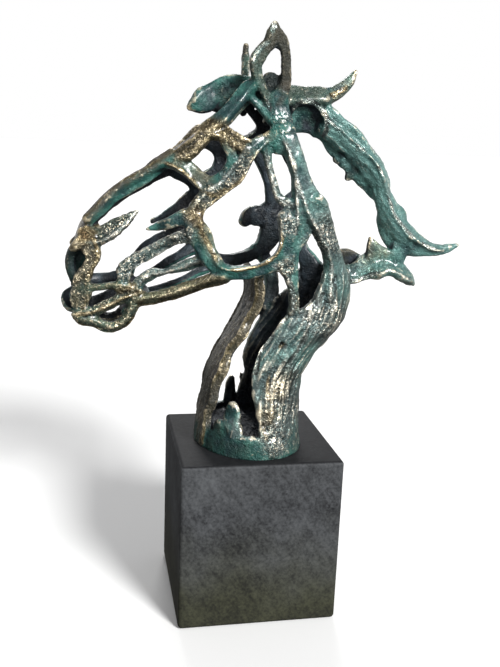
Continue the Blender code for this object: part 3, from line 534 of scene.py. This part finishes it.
def turn_at(z, x):
    """How far round the trunk its surface stands at x, from the back over the near side."""
    low, high = 0.0, math.pi
    while high - low > 1e-6:
        middle = (low + high) / 2
        if trunk_point(z, middle, 0).x > x:
            low = middle
        else:
            high = middle
    return low


def trunk_ring(z, start, end):
    """A slice of the trunk's wall at height z, as a closed ring of points."""
    turns = [start + (end - start) * i / WALL_SIDES for i in range(WALL_SIDES + 1)]
    return ([trunk_point(z, turn, 0) for turn in turns]
            + [trunk_point(z, turn, WALL) for turn in reversed(turns)])


def levels(low, high):
    return np.linspace(low, high, max(3, round((high - low) / NECK_STEP) + 1))


def stub(side, x, half, top):
    """A short finger of the side wall that stands up from the foot."""
    rings = []
    for z in levels(seat_height + 2, top):
        rise = max(0, (z - FOOT_TOP) / (top - FOOT_TOP))
        width = half * math.sqrt(max(0.08, 1 - rise ** 3))
        ring = []
        for i in range(STUB_SIDES):
            angle = math.tau * i / STUB_SIDES
            at = turn_at(z, x + width * math.cos(angle))
            place = trunk_point(z, at, WALL * 0.5 * (1 - math.sin(angle)))
            ring.append(Vector((place.x, -side * place.y, place.z)))
        rings.append(ring)
    loft(rings)


loft([trunk_ring(z, -turn_at(z, interpolate(BACK_WALL_EDGES, z, 2)),
                 turn_at(z, interpolate(BACK_WALL_EDGES, z, 1)))
      for z in levels(seat_height - BROAD_END, BACK_WALL_TOP)])
loft([[trunk_point(z, math.tau * i / FOOT_SIDES, WALL / 3) for i in range(FOOT_SIDES)]
      for z in levels(seat_height - BROAD_END, seat_height + FOOT_HEIGHT)])
for middle in (math.pi / 2, -math.pi / 2):
    loft([trunk_ring(z, middle - HALF_ROUND, middle + HALF_ROUND)
          for z in levels(seat_height - BROAD_END, FOOT_TOP)])
for row in STUBS + SLOT_SILLS:
    stub(*row)
for wax, half, points in TRUNK_LINES:
    for side in BOTH:
        rows = [Vector((x, 0, z)) for x, z in curve(points, SECTION_STEP)]
        places = [trunk_point(row.z, -side * turn_at(row.z, row.x), 0.2 * half) for row in rows]
        raised_line(wax, places, half, outward)
for z in levels(seat_height, BACK_WALL_TOP):
    widest = OPEN_TURN if z > FOOT_TOP else math.pi
    for turn in np.linspace(-widest, widest, WALL_SIDES):
        here, above, beside = (trunk_point(z + up, turn + on, WALL / 2)
                               for up, on in ((0, 0), (1, 0), (0, 0.1)))
        guides.append(("trunk" if z > FOOT_TOP else "foot", here, (above - here).normalized(),
                       (beside - here).normalized(), z, turn * GIRTH))

# ---------------------------------------------------------------------------
# The casting itself: the straps fused into one skin, eased where they meet,
# and given the lumps, grooves and pits that the wax had before it was cast.

VOXEL = 1.0
MOST_TRIANGLES = 190_000
SEAT_GAP = 0.3


def evaluated(obj):
    """Replaces an object's mesh by what its modifiers make of it."""
    graph = bpy.context.evaluated_depsgraph_get()
    made = bpy.data.meshes.new_from_object(obj.evaluated_get(graph))
    obj.modifiers.clear()
    obj.data = made


straps = bpy.data.meshes.new("head")
casting.to_mesh(straps)
casting.free()
head = bpy.data.objects.new("bronze_head", straps)
bpy.context.scene.collection.objects.link(head)
fuse = head.modifiers.new("fuse", "REMESH")
fuse.mode = "VOXEL"
fuse.voxel_size = VOXEL * MM
ease = head.modifiers.new("ease", "SMOOTH")
ease.factor = 0.5
ease.iterations = 4
evaluated(head)

# How far each strap was rubbed with silver and with gold wax, how brown it was left,
# how crumpled and how furrowed its own wax was, and how much shade is painted on it:
# above nought that is painted shade, with some darker patina, on a rougher skin with less
# lacquer; less than nought paints it paler as painted light and keeps an inner face from
# going black. Both sides are alike.
TONES = ("silver", "gold", "brown", "crumpled", "furrowed", "shade")
PLAIN = (0.1, 0.1, 0.05, 0.1, 0.0, 0.0)
WAXES = {"silver": (1.3, 0.1, 0, 0.2, 0, 0), "gold": (0.2, 1.3, 0.1, 0.2, 0, 0), "teal": PLAIN}
WAX_NEAR, WAX_FAR = 0.9, 2.3
WAX_GAP = 13.0
NEIGHBOURS = 6
STRAND_GAP = 7.3
# How the grain is drawn out along and across a strap: broad furrows, then fine streaks.
FURROW_STRETCH = (0.03, 0.16, 1)
STREAK_STRETCH = (0.06, 0.42, 1)
STRAP_TONES = {
    "nostril_limb": (0.3, 0.5, 0.6, 0.8, 0, 0.3),
    "nostril_roof": (0.1, 0.5, 0.7, 0.2, 0, 0),
    "nostril_leaf": (0.7, 0.4, 0.1, 0.8, 0, 0),
    "lower_lip": (0.5, 0.5, 0.2, 0.6, 0, 0.1),
    "chin": (0.35, 0.55, 0.3, 0.7, 0, 0.3),
    "mouth_corner": (0.4, 0.9, 0.5, 0.5, 0, 0),
    "lip_line_near": (0.1, 0.5, 0.2, 0.4, 0, 0.8),
    "upper_lip": (0.35, 0.4, 0.4, 0.6, 0, 0.4),
    "lip_roll": (0.4, 0.2, 0.3, 0.3, 0, -0.5),
    "muzzle": (0.05, 0.2, 0.4, 0.2, 0, 0.9),
    "septum": (0, 0, 0, 0.1, 0, 0.6),
    "nose_ridge": (0.1, 0.25, 0.9, 0.2, 0.1, 0),
    "nose_wall_near": (0.1, 0.25, 1.0, 0.2, 0.1, 0),
    "nose_wall_far": (0.1, 0.2, 1.0, 0.1, 0.1, 0),
    "nose_flank": (0.0, 0.0, 0, 0.1, 0, 0.1),
    "upper_bar_near": (0.65, 0.1, 0, 0.8, 0, 0.1),
    "middle_bar_near": (0.5, 0.1, 0, 0.5, 0, 0),
    "jaw_bar_near": (0.2, 0.7, 0.2, 0.4, 0, 0),
    "cheek_ring": (0.05, 0.1, 0.05, 0.15, 0, 0.45),
    "cheek_swell": (0.1, 0.4, 0.4, 0.3, 0, 0),
    "cheekbone": (0.8, 0.45, 0.1, 0.9, 0, 0),
    "under_eye_near": (0.15, 0.4, 0.5, 0.3, 0, 0.1),
    "eye_ring": (0.05, 0.05, 0.1, 0.2, 0, 0),
    "lower_brow": (0.4, 1.0, 0.3, 0.5, 0, 0),
    "forehead": (0.1, 0.2, 0.5, 0.2, 0, 0.2),
    "brow_near": (0.1, 0.05, 0, 0.1, 0, 0.1),
    "jaw_back": (0.05, 0.0, 0, 0.1, 0, -0.5),
    "poll_side": (0.05, 0.05, 0, 0.2, 0, 0.6),
    "jaw_root": (0.35, 0.1, 0, 0.4, 0, 0),
    "cheek_strut": (0.5, 0.1, 0, 0.6, 0, 0.1),
    "throat_strut": (0.55, 0.4, 0, 0.5, 0, 0),
    "far_throat": (0.1, 0.0, 0, 0.1, 0, -1.3),
    "crest_near": (0.45, 0.05, 0, 0.25, 0.1, -0.9),
    "throat": (0.1, 0.35, 0.85, 0.5, 0.3, 0.5),
    "long_lock": (0.2, 0.0, 0.05, 0.2, 0.6, -1.2),
    "crest_spur": (0.0, 0.0, 0.7, 0.3, 0.2, 0.8),
    "mane_fold": (0.4, 0.05, 0.0, 0.25, 0.6, -1.3),
    "mane_slope": (0.25, 0.0, 0.0, 0.2, 0.6, -1.3),
    "mane_crown": (0.5, 0.05, 0.1, 0.35, 0.5, -1.0),
    "flake_high": (0.05, 0, 0.1, 0.3, 0, -0.4),
    "flake_low": (0.05, 0, 0.5, 0.3, 0, -0.3),
    "short_lock": (0.2, 0.05, 0.5, 0.4, 0.4, 0),
    "spike_lock": (0.4, 0.4, 0.2, 0.15, 0.1, 0),
    "forelock": (0.0, 0.0, 0.0, 0.0, 0.4, 0.6),
    "forelock_root": (0.1, 0, 0.3, 0.8, 0, 0.9),
    "neck_lock": (0.4, 0.3, 0, 0.35, 0.4, -0.9),
    "neck_spike": (0.2, 0.5, 0, 0.1, 0, -0.5),
    "lock_link": (0.1, 0.1, 0, 0.2, 0.2, -0.5),
    "jag_low": (0.2, 0.2, 0.3, 0.3, 0, -0.5),
    "ear_front_rim": (0.1, 0.0, 0.5, 0.4, 0.3, 0.6),
    "ear_back_rim": (0.0, 0.0, 0.9, 0.4, 0.3, 0.95),
    "ear_tip": (0.0, 0.0, 1.0, 0.4, 0.3, 1.0),
    "ear_bowl": (0.0, 0.0, 0.5, 0.3, 0, 1.0),
    "trunk": (0.5, 0.1, 0.05, 0.1, 1.0, -0.4),
    "foot": (0.0, 0.05, 0.3, 0.3, 0.0, 1.1),
}
# Places that were worked apart from the rest of their strap: (x, z, reach), tones. The last tone of
# several is painted shade in deep and sheltered places, such as the hollow under the mane's sheet and the
# foot; on the neck it is below nought, which paints it paler as painted light.
DAUBS = [
    ((-125, 286, 7), (0.0, 0.9, 1.0, 0.2, 0, 0)),
    ((-50, 301, 9), (0.1, 0.8, 0.9, 0.5, 0, 0)),
    ((-38, 358, 9), (0.4, 1.2, 0.3, 0.4, 0, 0)),
    ((-59, 286, 7), (1.0, 0.1, 0.0, 1.0, 0, 0)),
    ((12, 297, 9), (1.1, 0.1, 0.0, 1.0, 0, 0)),
    ((45, 289, 12), (1.3, 0.1, 0.0, 1.0, 0, 0)),
    ((15, 267, 7), (1.0, 0.3, 0.0, 0.8, 0, 0)),
    ((-54, 373, 2.5), (0.2, 1.0, 0.4, 0.1, 0, 0)),
    ((-30, 385, 6), (0.0, 0.0, 0.4, 0.8, 0, 1.0)),
    ((1, 392, 6), (0.0, 0.0, 0.6, 0.8, 0, 0.9)),
    ((50, 226, 13), (1.4, 0.3, 0.0, 0.7, 1.0, -0.2)),
    ((38, 234, 9), (1.6, 0.2, 0.0, 0.4, 1.0, -0.3)),
    ((16, 184, 10), (1.6, 0.6, 0.0, 0.6, 1.6, -0.5)),
    ((12, 174, 8), (1.6, 0.7, 0.0, 0.6, 1.6, -0.5)),
    ((5, 160, 10), (1.2, 0.8, 0.1, 0.6, 1.2, -0.2)),
    ((25, 160, 10), (0.9, 0.1, 0.0, 0.7, 0.6, 0.1)),
    ((10, 139, 12), (1.0, 0.2, 0.0, 0.8, 0.4, 0.1)),
    ((8, 364, 9), (0.0, 0.0, 0.1, 0.9, 0, 0.3)),
    ((31, 137, 9), (0.4, 0.0, 0.4, 0.7, 0, 0.8)),
    ((-8, 350, 10), (0.2, 0.1, 0.0, 0.3, 0, 0)),
    ((-24, 352, 7), (0.5, 1.1, 0.1, 0.4, 0, 0)),
    ((-38, 170, 16), (0.0, 0.1, 0.9, 0.4, 0.4, 0.9)),
    ((35, 369, 9), (0.0, 0.0, 0.4, 0.1, 0, 0.2)),
    ((-14, 153, 3.5), (0.9, 0.3, 0.0, 0.6, 0, 0)),
    ((-23, 160, 6), (0.0, 0.0, 0.2, 0.3, 0, 1.2)),
]


def smoothstep(values, low, high):
    """Nought below low, one above high, and smooth between them."""
    share = np.clip((values - low) / (high - low), 0, 1)
    return share * share * (3 - 2 * share)


def ripple(points, size):
    """Smooth noise of about that size at each point, from -1 to 1."""
    return np.array([noise.noise(Vector(p)) for p in points / size])


def streaks(grain):
    """Uneven ridges that run along the grain, from -1 to 1."""
    return ripple(grain * STREAK_STRETCH + 9, 1.0)


def read_guides(places):
    """Each point's tones, as columns by name, and its place along and across the grain."""
    tree = KDTree(len(guides))
    for i, row in enumerate(guides):
        tree.insert(row[1], i)
    tree.balance()
    shades = np.array([STRAP_TONES.get(row[0], PLAIN) for row in guides])
    frames = np.array([(*row[1], *row[2], *row[3], row[4], row[5]) for row in guides])
    strands = {name: i for i, name in enumerate(sorted({row[0] for row in guides}))}
    strand = np.array([strands[row[0]] for row in guides])
    found = [tree.find_n(p, NEIGHBOURS) for p in places.tolist()]
    index = np.array([[hit[1] for hit in hits] for hits in found])
    weight = 1 / (np.array([[hit[2] for hit in hits] for hits in found]) ** 2 + 1)
    tones = (shades[index] * weight[..., None]).sum(1) / weight.sum(1)[:, None]
    line_tree = KDTree(len(lines))
    for i, (_, point) in enumerate(lines):
        line_tree.insert(point, i)
    line_tree.balance()
    closest = [line_tree.find(p) for p in places.tolist()]
    waxes = np.array([WAXES[lines[hit[1]][0]] for hit in closest])
    rubbed = 1 - smoothstep(np.array([hit[2] for hit in closest]), WAX_NEAR, WAX_FAR)
    rubbed *= smoothstep(ripple(places, WAX_GAP), -0.35, 0.15)
    tones += rubbed[:, None] * (waxes - tones)
    for (x, z, reach), shade in DAUBS:
        share = np.exp(-((places[:, 0] - x) ** 2 + (places[:, 2] - z) ** 2) / reach ** 2)
        tones += share[:, None] * (np.array(shade) - tones)
    rows = frames[index]
    offset = places[:, None] - rows[..., 0:3]
    along = (offset * rows[..., 3:6]).sum(2) + rows[..., 9]
    across = (offset * rows[..., 6:9]).sum(2) + rows[..., 10]
    weight *= strand[index] == strand[index[:, :1]]
    total = weight.sum(1)
    grain = np.stack([(along * weight).sum(1) / total, (across * weight).sum(1) / total,
                      STRAND_GAP * strand[index[:, 0]]], axis=1)
    return dict(zip(TONES, tones.T)), grain


def read(mesh, field, width=3):
    """One field of the mesh's points, as rows in an array."""
    values = np.empty(len(mesh.vertices) * width, np.float32)
    mesh.vertices.foreach_get(field, values)
    return values.reshape(-1, width).astype(float)


places = read(head.data, "co") / MM
facings = read(head.data, "normal")
near, grain = read_guides(places)
carved = 0.5 * ripple(places, 9.0) + 0.22 * ripple(places + 50, 3.4)
flow = 1 - np.abs(ripple(grain * FURROW_STRETCH, 1.0)) * 2.2
carved += 0.9 * near["furrowed"] * np.clip(flow, -0.3, 1)
carved += near["furrowed"] * (0.8 * streaks(grain) + 0.9 * ripple(places + 30, 13.0))
carved -= near["crumpled"] * (1.1 * (np.abs(ripple(places + 90, 5.0)) - 0.2)
                              + 1.1 * (np.abs(ripple(places + 20, 2.4)) - 0.2))
places += facings * carved[:, None]
places[:, 2] = np.maximum(places[:, 2], seat_height + SEAT_GAP)
head.data.vertices.foreach_set("co", (places * MM).astype(np.float32).ravel())
head.data.update()
triangles = sum(len(face.vertices) - 2 for face in head.data.polygons)
thin = head.modifiers.new("thin", "DECIMATE")
thin.ratio = MOST_TRIANGLES / triangles
evaluated(head)
head.data.shade_smooth()

# ---------------------------------------------------------------------------
# The patina: copper-green over brown bronze, black inside the hollows, partly a dark
# inner patina and partly painted shade, then rubbed with gold and silver wax, which
# catches on the edges and ridges, and lacquered. How much of each a place has is
# measured on the finished skin, and so is how walled in it is, for the painted shade.

RAY_LENGTH = 16.0
RAYS = 14
NARROW_ROUNDS = 4


def eased(field, edges, rounds):
    """The field after each point has taken the mean of its neighbours, rounds times."""
    count = len(field)
    degree = np.bincount(edges.ravel(), minlength=count)[:, None]
    for _ in range(rounds):
        total = np.zeros_like(field)
        for column in range(field.shape[1]):
            total[:, column] = (
                np.bincount(edges[:, 0], field[edges[:, 1], column], count)
                + np.bincount(edges[:, 1], field[edges[:, 0], column], count))
        field = total / degree
    return field


def shelter(mesh, places, facings):
    """How much of the sky above each point is walled in nearby, from 0 to 1."""
    tree = BVHTree.FromPolygons(places.tolist(), [f.vertices[:] for f in mesh.polygons])
    golden = math.pi * (3 - math.sqrt(5))
    sky = []
    for i in range(RAYS):
        rise = 1 - (i + 0.5) / RAYS
        flat = math.sqrt(1 - rise * rise)
        sky.append((flat * math.cos(i * golden), flat * math.sin(i * golden), rise))
    helper = np.where(np.abs(facings[:, :1]) < 0.8, (1.0, 0, 0), (0, 1.0, 0))
    across = np.cross(facings, helper)
    across /= np.linalg.norm(across, axis=1, keepdims=True)
    up = np.cross(facings, across)
    starts = (places + facings * 0.3).tolist()
    blocked = np.zeros(len(places))
    for a, b, c in sky:
        rays = (a * across + b * up + c * facings).tolist()
        for i, (start, ray) in enumerate(zip(starts, rays)):
            reach = tree.ray_cast(start, ray, RAY_LENGTH)[3]
            if reach is not None:
                blocked[i] += 1 - 0.6 * reach / RAY_LENGTH
    return blocked / RAYS


def keep(mesh, name, values):
    """Stores one number for each point of the mesh, for the finish to read."""
    field = mesh.attributes.new(name, "FLOAT", "POINT")
    field.data.foreach_set("value", values.astype(np.float32))


skin = head.data
places = read(skin, "co") / MM
facings = read(skin, "normal")
edges = np.empty(len(skin.edges) * 2, np.int32)
skin.edges.foreach_get("vertices", edges)
edges = edges.reshape(-1, 2)
near, grain = read_guides(places)
narrow = ((places - eased(places, edges, NARROW_ROUNDS)) * facings).sum(1)
# Points deep inside the neck, below its top, go black as painted shade of the hollow trunk.
front, back, half = (np.interp(places[:, 2], *zip(*[(row[0], row[i]) for row in TRUNK]))
                     for i in (1, 2, 3))
middle = front + WIDEST_SHARE * (back - front)
length = np.where(places[:, 0] > middle, back - middle, middle - front)
depth = 1 - ((places[:, 0] - middle) / length) ** 2 - (places[:, 1] / half) ** 2
inside = smoothstep(depth, 0.08, 0.22) * smoothstep(-places[:, 2], -250, -235)
# Faces turned towards the core go black as well: partly a dark inner patina, partly painted shade.
away = np.array([outward(Vector(p)) for p in places.round(0).tolist()])
inward = -(away * facings).sum(1)
# How walled in each point is, kept as "hollow", becomes painted shade in the finish.
covered = shelter(skin, places, facings)
keep(skin, "edge", narrow * smoothstep(places[:, 2], seat_height + 2, seat_height + 6))
keep(skin, "hollow", covered)
keep(skin, "inner", np.maximum(smoothstep(inward, 0.1, 0.55), inside))
for tone in TONES:
    keep(skin, tone, near[tone])
keep(skin, "streak", near["furrowed"] * streaks(grain))


class Signal:
    """An output of a finish's nodes, whose arithmetic adds Math nodes."""

    def __init__(self, finish, socket):
        self.finish = finish
        self.socket = socket

    def math(self, operation, *values):
        inputs = dict(enumerate(values))
        return self.finish.node("ShaderNodeMath", {"operation": operation}, inputs)

    def __add__(self, other):
        return self.math("ADD", self, other)

    def __sub__(self, other):
        return self.math("SUBTRACT", self, other)

    def __rsub__(self, other):
        return self.math("SUBTRACT", other, self)

    def __mul__(self, other):
        return self.math("MULTIPLY", self, other)

    __radd__ = __add__
    __rmul__ = __mul__


class Finish:
    """The nodes of a material or a sky: node() adds one and returns one of its outputs."""

    def __init__(self, owner, shader="Principled BSDF"):
        owner.use_nodes = True
        self.owner = owner
        self.tree = owner.node_tree
        self.shader = self.tree.nodes[shader]

    def put(self, socket, value):
        if isinstance(value, Signal):
            self.tree.links.new(value.socket, socket)
        else:
            socket.default_value = value

    def surface(self, **values):
        """Sets the shader's sockets, named with underscores for spaces."""
        for name, value in values.items():
            self.put(self.shader.inputs[name.replace("_", " ")], value)

    def node(self, kind, settings=None, inputs=None, output=0):
        made = self.tree.nodes.new(kind)
        for name, value in (settings or {}).items():
            setattr(made, name, value)
        for name, value in (inputs or {}).items():
            self.put(made.inputs[name], value)
        return Signal(self, made.outputs[output])

    def mix(self, factor, a, b):
        """A colour between a and b."""
        return self.node("ShaderNodeMix", {"data_type": "RGBA"}, {0: factor, 6: a, 7: b}, 2)

    def step(self, value, low, high):
        """Nought below low, one above high, and smooth between them."""
        return self.node("ShaderNodeMapRange", {"interpolation_type": "SMOOTHSTEP"},
                         {"Value": value, "From Min": low, "From Max": high})


patina = Finish(bpy.data.materials.new("patina"))


def measure(name):
    return patina.node("ShaderNodeAttribute", {"attribute_name": name}, output="Fac")


def cloud(finish, where, scale, detail=6.0, roughness=0.6):
    """Noise from 0 to 1, with features about 1/scale across."""
    return finish.node("ShaderNodeTexNoise", None, {"Vector": where, "Scale": scale,
                                                    "Detail": detail, "Roughness": roughness})


NIGHT_TEAL = (0.004, 0.012, 0.014, 1)
DEEP_TEAL = (0.014, 0.045, 0.047, 1)
MID_TEAL = (0.036, 0.152, 0.122, 1)
PALE_TEAL = (0.140, 0.280, 0.258, 1)
OLIVE_BROWN = (0.070, 0.056, 0.036, 1)
RUST = (0.20, 0.085, 0.028, 1)
BLACK = (0.012, 0.015, 0.020, 1)
NAVY = (0.034, 0.046, 0.060, 1)
PIT = (0.012, 0.012, 0.010, 1)
PITTED_SILVER = (0.075, 0.100, 0.098, 1)
TARNISHED_SILVER = (0.27, 0.30, 0.27, 1)
SILVER = (0.90, 0.90, 0.82, 1)
PITTED_GOLD = (0.080, 0.060, 0.030, 1)
TARNISHED_GOLD = (0.32, 0.25, 0.13, 1)
GOLD = (0.95, 0.78, 0.48, 1)

spot = patina.node("ShaderNodeTexCoord", output="Object")
broad = cloud(patina, spot, 28.0, 3.0)
patch = cloud(patina, spot, 110.0, 6.0)
fleck = cloud(patina, spot, 480.0, 2.0)
lumps = cloud(patina, spot, 75.0, 1.0)
crumb = patina.node("ShaderNodeTexNoise", None, {"Vector": spot, "Scale": 330.0, "Detail": 2.0,
                                                 "Roughness": 0.6, "Distortion": 1.5})
edge, hollow, inner, streak = map(measure, ("edge", "hollow", "inner", "streak"))
silver, gold, brown = map(measure, ("silver", "gold", "brown"))
crumpled, furrowed, shade = map(measure, ("crumpled", "furrowed", "shade"))
rim = patina.step(edge + (fleck - 0.5) * 0.4, 0.40, 0.95)
lift = patina.step(edge + (fleck - 0.5) * 0.8, -0.3, 0.7)

# The copper-green, from dark to pale; where the last tone is below nought, mostly on the mane, crest and
# neck, it is painted paler as painted light.
colour = patina.mix(patina.step(broad + (patch - 0.5) * 0.7, 0.34, 0.64), DEEP_TEAL, MID_TEAL)
colour = patina.mix(patina.step(patch + (broad - 0.5) * 0.5 + lift * 0.15 - shade * 0.25,
                                0.5, 0.95) * 0.75, colour, PALE_TEAL)
# Brown bronze showing through, the two waxes over it, and a little rust.
browned = patina.step(brown + (patch - 0.5) * 0.8, 0.15, 0.8)
colour = patina.mix(browned * 0.92, colour, OLIVE_BROWN)
silvered = patina.step(silver + (patch - 0.5) * 0.7, 0.15, 0.9)
colour = patina.mix(silvered * 0.9, colour, patina.mix(lift, PITTED_SILVER, TARNISHED_SILVER))
gilded = patina.step(gold + (patch - 0.5) * 0.7, 0.15, 0.95)
colour = patina.mix(gilded * 0.9, colour, patina.mix(lift, PITTED_GOLD, TARNISHED_GOLD))
rusted = patina.step(brown * 0.5 + gold * 0.35 + (patch - 0.5) * 1.6, 0.7, 1.2)
colour = patina.mix(rusted * 0.5, colour, RUST)
# Crests burnished bright, and pits left dark.
bright = patina.step(patina.step(crumb, 0.52, 0.66) * crumpled + rim * 1.2 + lift * 0.2
                     + streak * 0.9 + (silver + gold) * 0.15, 0.3, 1.1)
colour = patina.mix(bright * (silver * 0.9 + 0.15), colour, SILVER)
colour = patina.mix(bright * (gold * 0.8 + 0.25), colour, GOLD)
pitted = (1 - patina.step(crumb - streak * 0.1, 0.30, 0.42)) * (crumpled * 0.9 + 0.15)
colour = patina.mix(pitted * (1 - bright * 0.7) * 0.9, colour, PIT)
# Painted shade: grooves, sheltered hollows and shaded parts go dark teal, and inner faces and the inside
# of the neck go near black, where shade falls; the grooves and inner faces also keep the darker patina
# that the wax never reached.
groove = patina.step(edge + (fleck - 0.5) * 0.3, -0.6, -0.1)
dark = patina.step(hollow + shade * 0.5 + (patch - 0.5) * 0.3 + (1 - groove) * 0.5, 0.25, 0.75)
inner_black_and_painted_shade = patina.step(inner * 0.9 + hollow * 0.35 + shade * 0.4 + (patch - 0.5) * 0.3, 0.45, 0.85)
colour = patina.mix(dark * 0.8, colour, NIGHT_TEAL)
colour = patina.mix(inner_black_and_painted_shade * 0.96, colour, patina.mix(patina.step(patch, 0.42, 0.7), BLACK, NAVY))
waxed = patina.step(silvered + gilded + bright * 0.5, 0.0, 1.1) * (1 - inner_black_and_painted_shade) * (1 - pitted)
relief = (patch * 0.8 + fleck * 0.3 + crumb * (crumpled + 0.45) + lumps * furrowed * 2.5
          - pitted * 0.2)
matte = patina.step(shade, 0.0, 1.0)
bump = patina.node("ShaderNodeBump", None,
                   {"Strength": 0.9, "Distance": 0.0018, "Height": relief}, "Normal")
patina.surface(Base_Color=colour, Metallic=waxed * 0.75 + 0.15, Normal=bump,
               Roughness=(fleck - 0.5) * 0.3 + 0.32 + inner_black_and_painted_shade * 0.2 + matte * 0.2,
               Specular_IOR_Level=0.35, Coat_Weight=(1 - inner_black_and_painted_shade * 0.8) * (1 - matte) * 0.55,
               Coat_Roughness=0.18)
head.data.materials.append(patina.owner)
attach(head, "root")
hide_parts("horse_head")

# ---------------------------------------------------------------------------
# The plinth, a block of wood with its edges eased by sanding, brushed over with thin
# black paint, greyer towards the top and greener and darker towards the foot.

EDGE = 3.0
low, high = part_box("plinth")
block = bmesh.new()
bmesh.ops.create_cube(block, size=1)
bmesh.ops.scale(block, vec=high - low, verts=block.verts)
bmesh.ops.translate(block, vec=(high + low) / 2, verts=block.verts)
bmesh.ops.bevel(block, geom=block.edges, offset=EDGE * MM, affect="EDGES", segments=6,
                profile=0.5, material=-1)
plinth_mesh = bpy.data.meshes.new("plinth_block")
block.to_mesh(plinth_mesh)
block.free()
plinth = bpy.data.objects.new("painted_plinth", plinth_mesh)
bpy.context.scene.collection.objects.link(plinth)
plinth.data.shade_smooth()
paint = Finish(bpy.data.materials.new("painted_wood"))
place = paint.node("ShaderNodeTexCoord", output="Object")
stroke = paint.node("ShaderNodeMapping", {"vector_type": "TEXTURE"},
                    {"Vector": place, "Rotation": (0, -0.6, 0.3), "Scale": (1.0, 1.0, 9.0)})
mottle = cloud(paint, place, 75.0, 8.0, 0.7)
broad_mottle = cloud(paint, place, 16.0, 3.0)
speckle = cloud(paint, place, 480.0, 4.0)
brushed = cloud(paint, stroke, 260.0, 4.0)
COAL = (0.008, 0.008, 0.009, 1)
SLATE = (0.095, 0.100, 0.105, 1)
MOSS = (0.062, 0.064, 0.040, 1)
rise = paint.node("ShaderNodeSeparateXYZ", None, {"Vector": place}, "Z")
dusted = paint.step((mottle - 0.5) * 0.5 + (speckle - 0.5) * 0.6 + (brushed - 0.5) * 0.4
                    + broad_mottle * 0.5, -0.15, 0.65)
grey = paint.mix(paint.step(rise + (broad_mottle - 0.5) * 0.08, 0.01, 0.09), MOSS, SLATE)
up = paint.node("ShaderNodeSeparateXYZ", None,
                {"Vector": paint.node("ShaderNodeNewGeometry", output="Normal")}, "Z")
# The top face takes much less of the grey than the sides, so it shows darker.
flank = 1 - paint.step(up, 0.5, 0.9) * 0.85
paint_relief = speckle * 0.6 + brushed * 0.4
paint_bump = paint.node("ShaderNodeBump", None, {"Strength": 0.25, "Distance": 0.0006,
                                                 "Height": paint_relief}, "Normal")
paint.surface(Base_Color=paint.mix(dusted * flank, COAL, grey), Normal=paint_bump,
              Roughness=(speckle - 0.5) * 0.3 + 0.6, Specular_IOR_Level=0.1)
plinth.data.materials.append(paint.owner)
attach(plinth, "root")
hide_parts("plinth")

# ---------------------------------------------------------------------------
# The studio: a pale floor of matt board, a white surround that is dimmer overhead and
# beyond the nose, three soft lights, and the camera. Seen directly, the surround is
# plain white all round.

FLOOR_REACH = 40.0
FLOOR_DROP = 0.5
WHITE = (1.0, 1.0, 1.0, 1)
DIM_END = (0.3, 0.3, 0.3, 1)
OVERHEAD = (0.22, 0.22, 0.23, 1)
UNDERFOOT = (0.16, 0.16, 0.16, 1)
floor_mesh = bmesh.new()
bmesh.ops.create_grid(floor_mesh, x_segments=1, y_segments=1, size=FLOOR_REACH)
bmesh.ops.translate(floor_mesh, vec=(0, 0, low.z - FLOOR_DROP * MM), verts=floor_mesh.verts)
floor_data = bpy.data.meshes.new("floor")
floor_mesh.to_mesh(floor_data)
floor_mesh.free()
floor = bpy.data.objects.new("floor", floor_data)
bpy.context.scene.collection.objects.link(floor)
pale = Finish(bpy.data.materials.new("pale_floor"))
pale.surface(Base_Color=(0.86, 0.86, 0.85, 1), Roughness=0.9)
floor.data.materials.append(pale.owner)
floor.visible_diffuse = False
floor.visible_glossy = False

world = bpy.data.worlds.new("studio")
bpy.context.scene.world = world
bpy.context.scene.view_settings.view_transform = "Standard"
sky = Finish(world, "Background")
way = sky.node("ShaderNodeTexCoord", output="Generated")
height = sky.node("ShaderNodeSeparateXYZ", None, {"Vector": way}, "Z")
sideways = sky.node("ShaderNodeSeparateXYZ", None, {"Vector": way}, "X")
wall = sky.mix(sky.step(sideways, -0.85, -0.45), DIM_END, WHITE)
above = sky.mix(sky.step(height, 0.15, 0.55), wall, OVERHEAD)
around = sky.mix(sky.step(height, -0.06, 0.0), UNDERFOOT, above)
seen = sky.node("ShaderNodeLightPath", output="Is Camera Ray")
sky.surface(Color=sky.mix(seen, around, WHITE), Strength=1.0)

# Each soft light, far off: where it comes from, how wide it looks in degrees, its strength.
SOFT_LIGHTS = {
    "key": ((0.6, -1.2, 0.85), 16, 4.7),
    "fill": ((-1.3, -0.9, 0.7), 24, 0.3),
    "back": ((0.1, 1.2, 1.0), 20, 1.2),
}
for name, (source, spread, strength) in SOFT_LIGHTS.items():
    data = bpy.data.lights.new(name, "SUN")
    data.angle = math.radians(spread)
    data.energy = strength
    lamp = bpy.data.objects.new(name, data)
    lamp.rotation_euler = Vector(source).to_track_quat("Z", "Y").to_euler()
    bpy.context.scene.collection.objects.link(lamp)

# The camera looks down on the middle of the near side from its left, and leans a little.
SENSOR = 36.0
FOCAL_LENGTH = 43.8
AIM = Vector((-2.6, 0, 210.6)) * MM
DISTANCE = 617.6 * MM
LOOKING_DOWN = math.radians(13.3)
FROM_THE_LEFT = math.radians(11.53)
LEAN = math.radians(2.28)
camera_data = bpy.data.cameras.new("camera")
camera_data.sensor_width = SENSOR
camera_data.lens = FOCAL_LENGTH
camera = bpy.data.objects.new("camera", camera_data)
turned = (Matrix.Rotation(-FROM_THE_LEFT, 3, "Z") @ Matrix.Rotation(math.pi / 2 - LOOKING_DOWN, 3, "X")
          @ Matrix.Rotation(LEAN, 3, "Z"))
camera.matrix_world = Matrix.Translation(AIM + turned @ Vector((0, 0, DISTANCE))) @ turned.to_4x4()
bpy.context.scene.collection.objects.link(camera)
bpy.context.scene.camera = camera
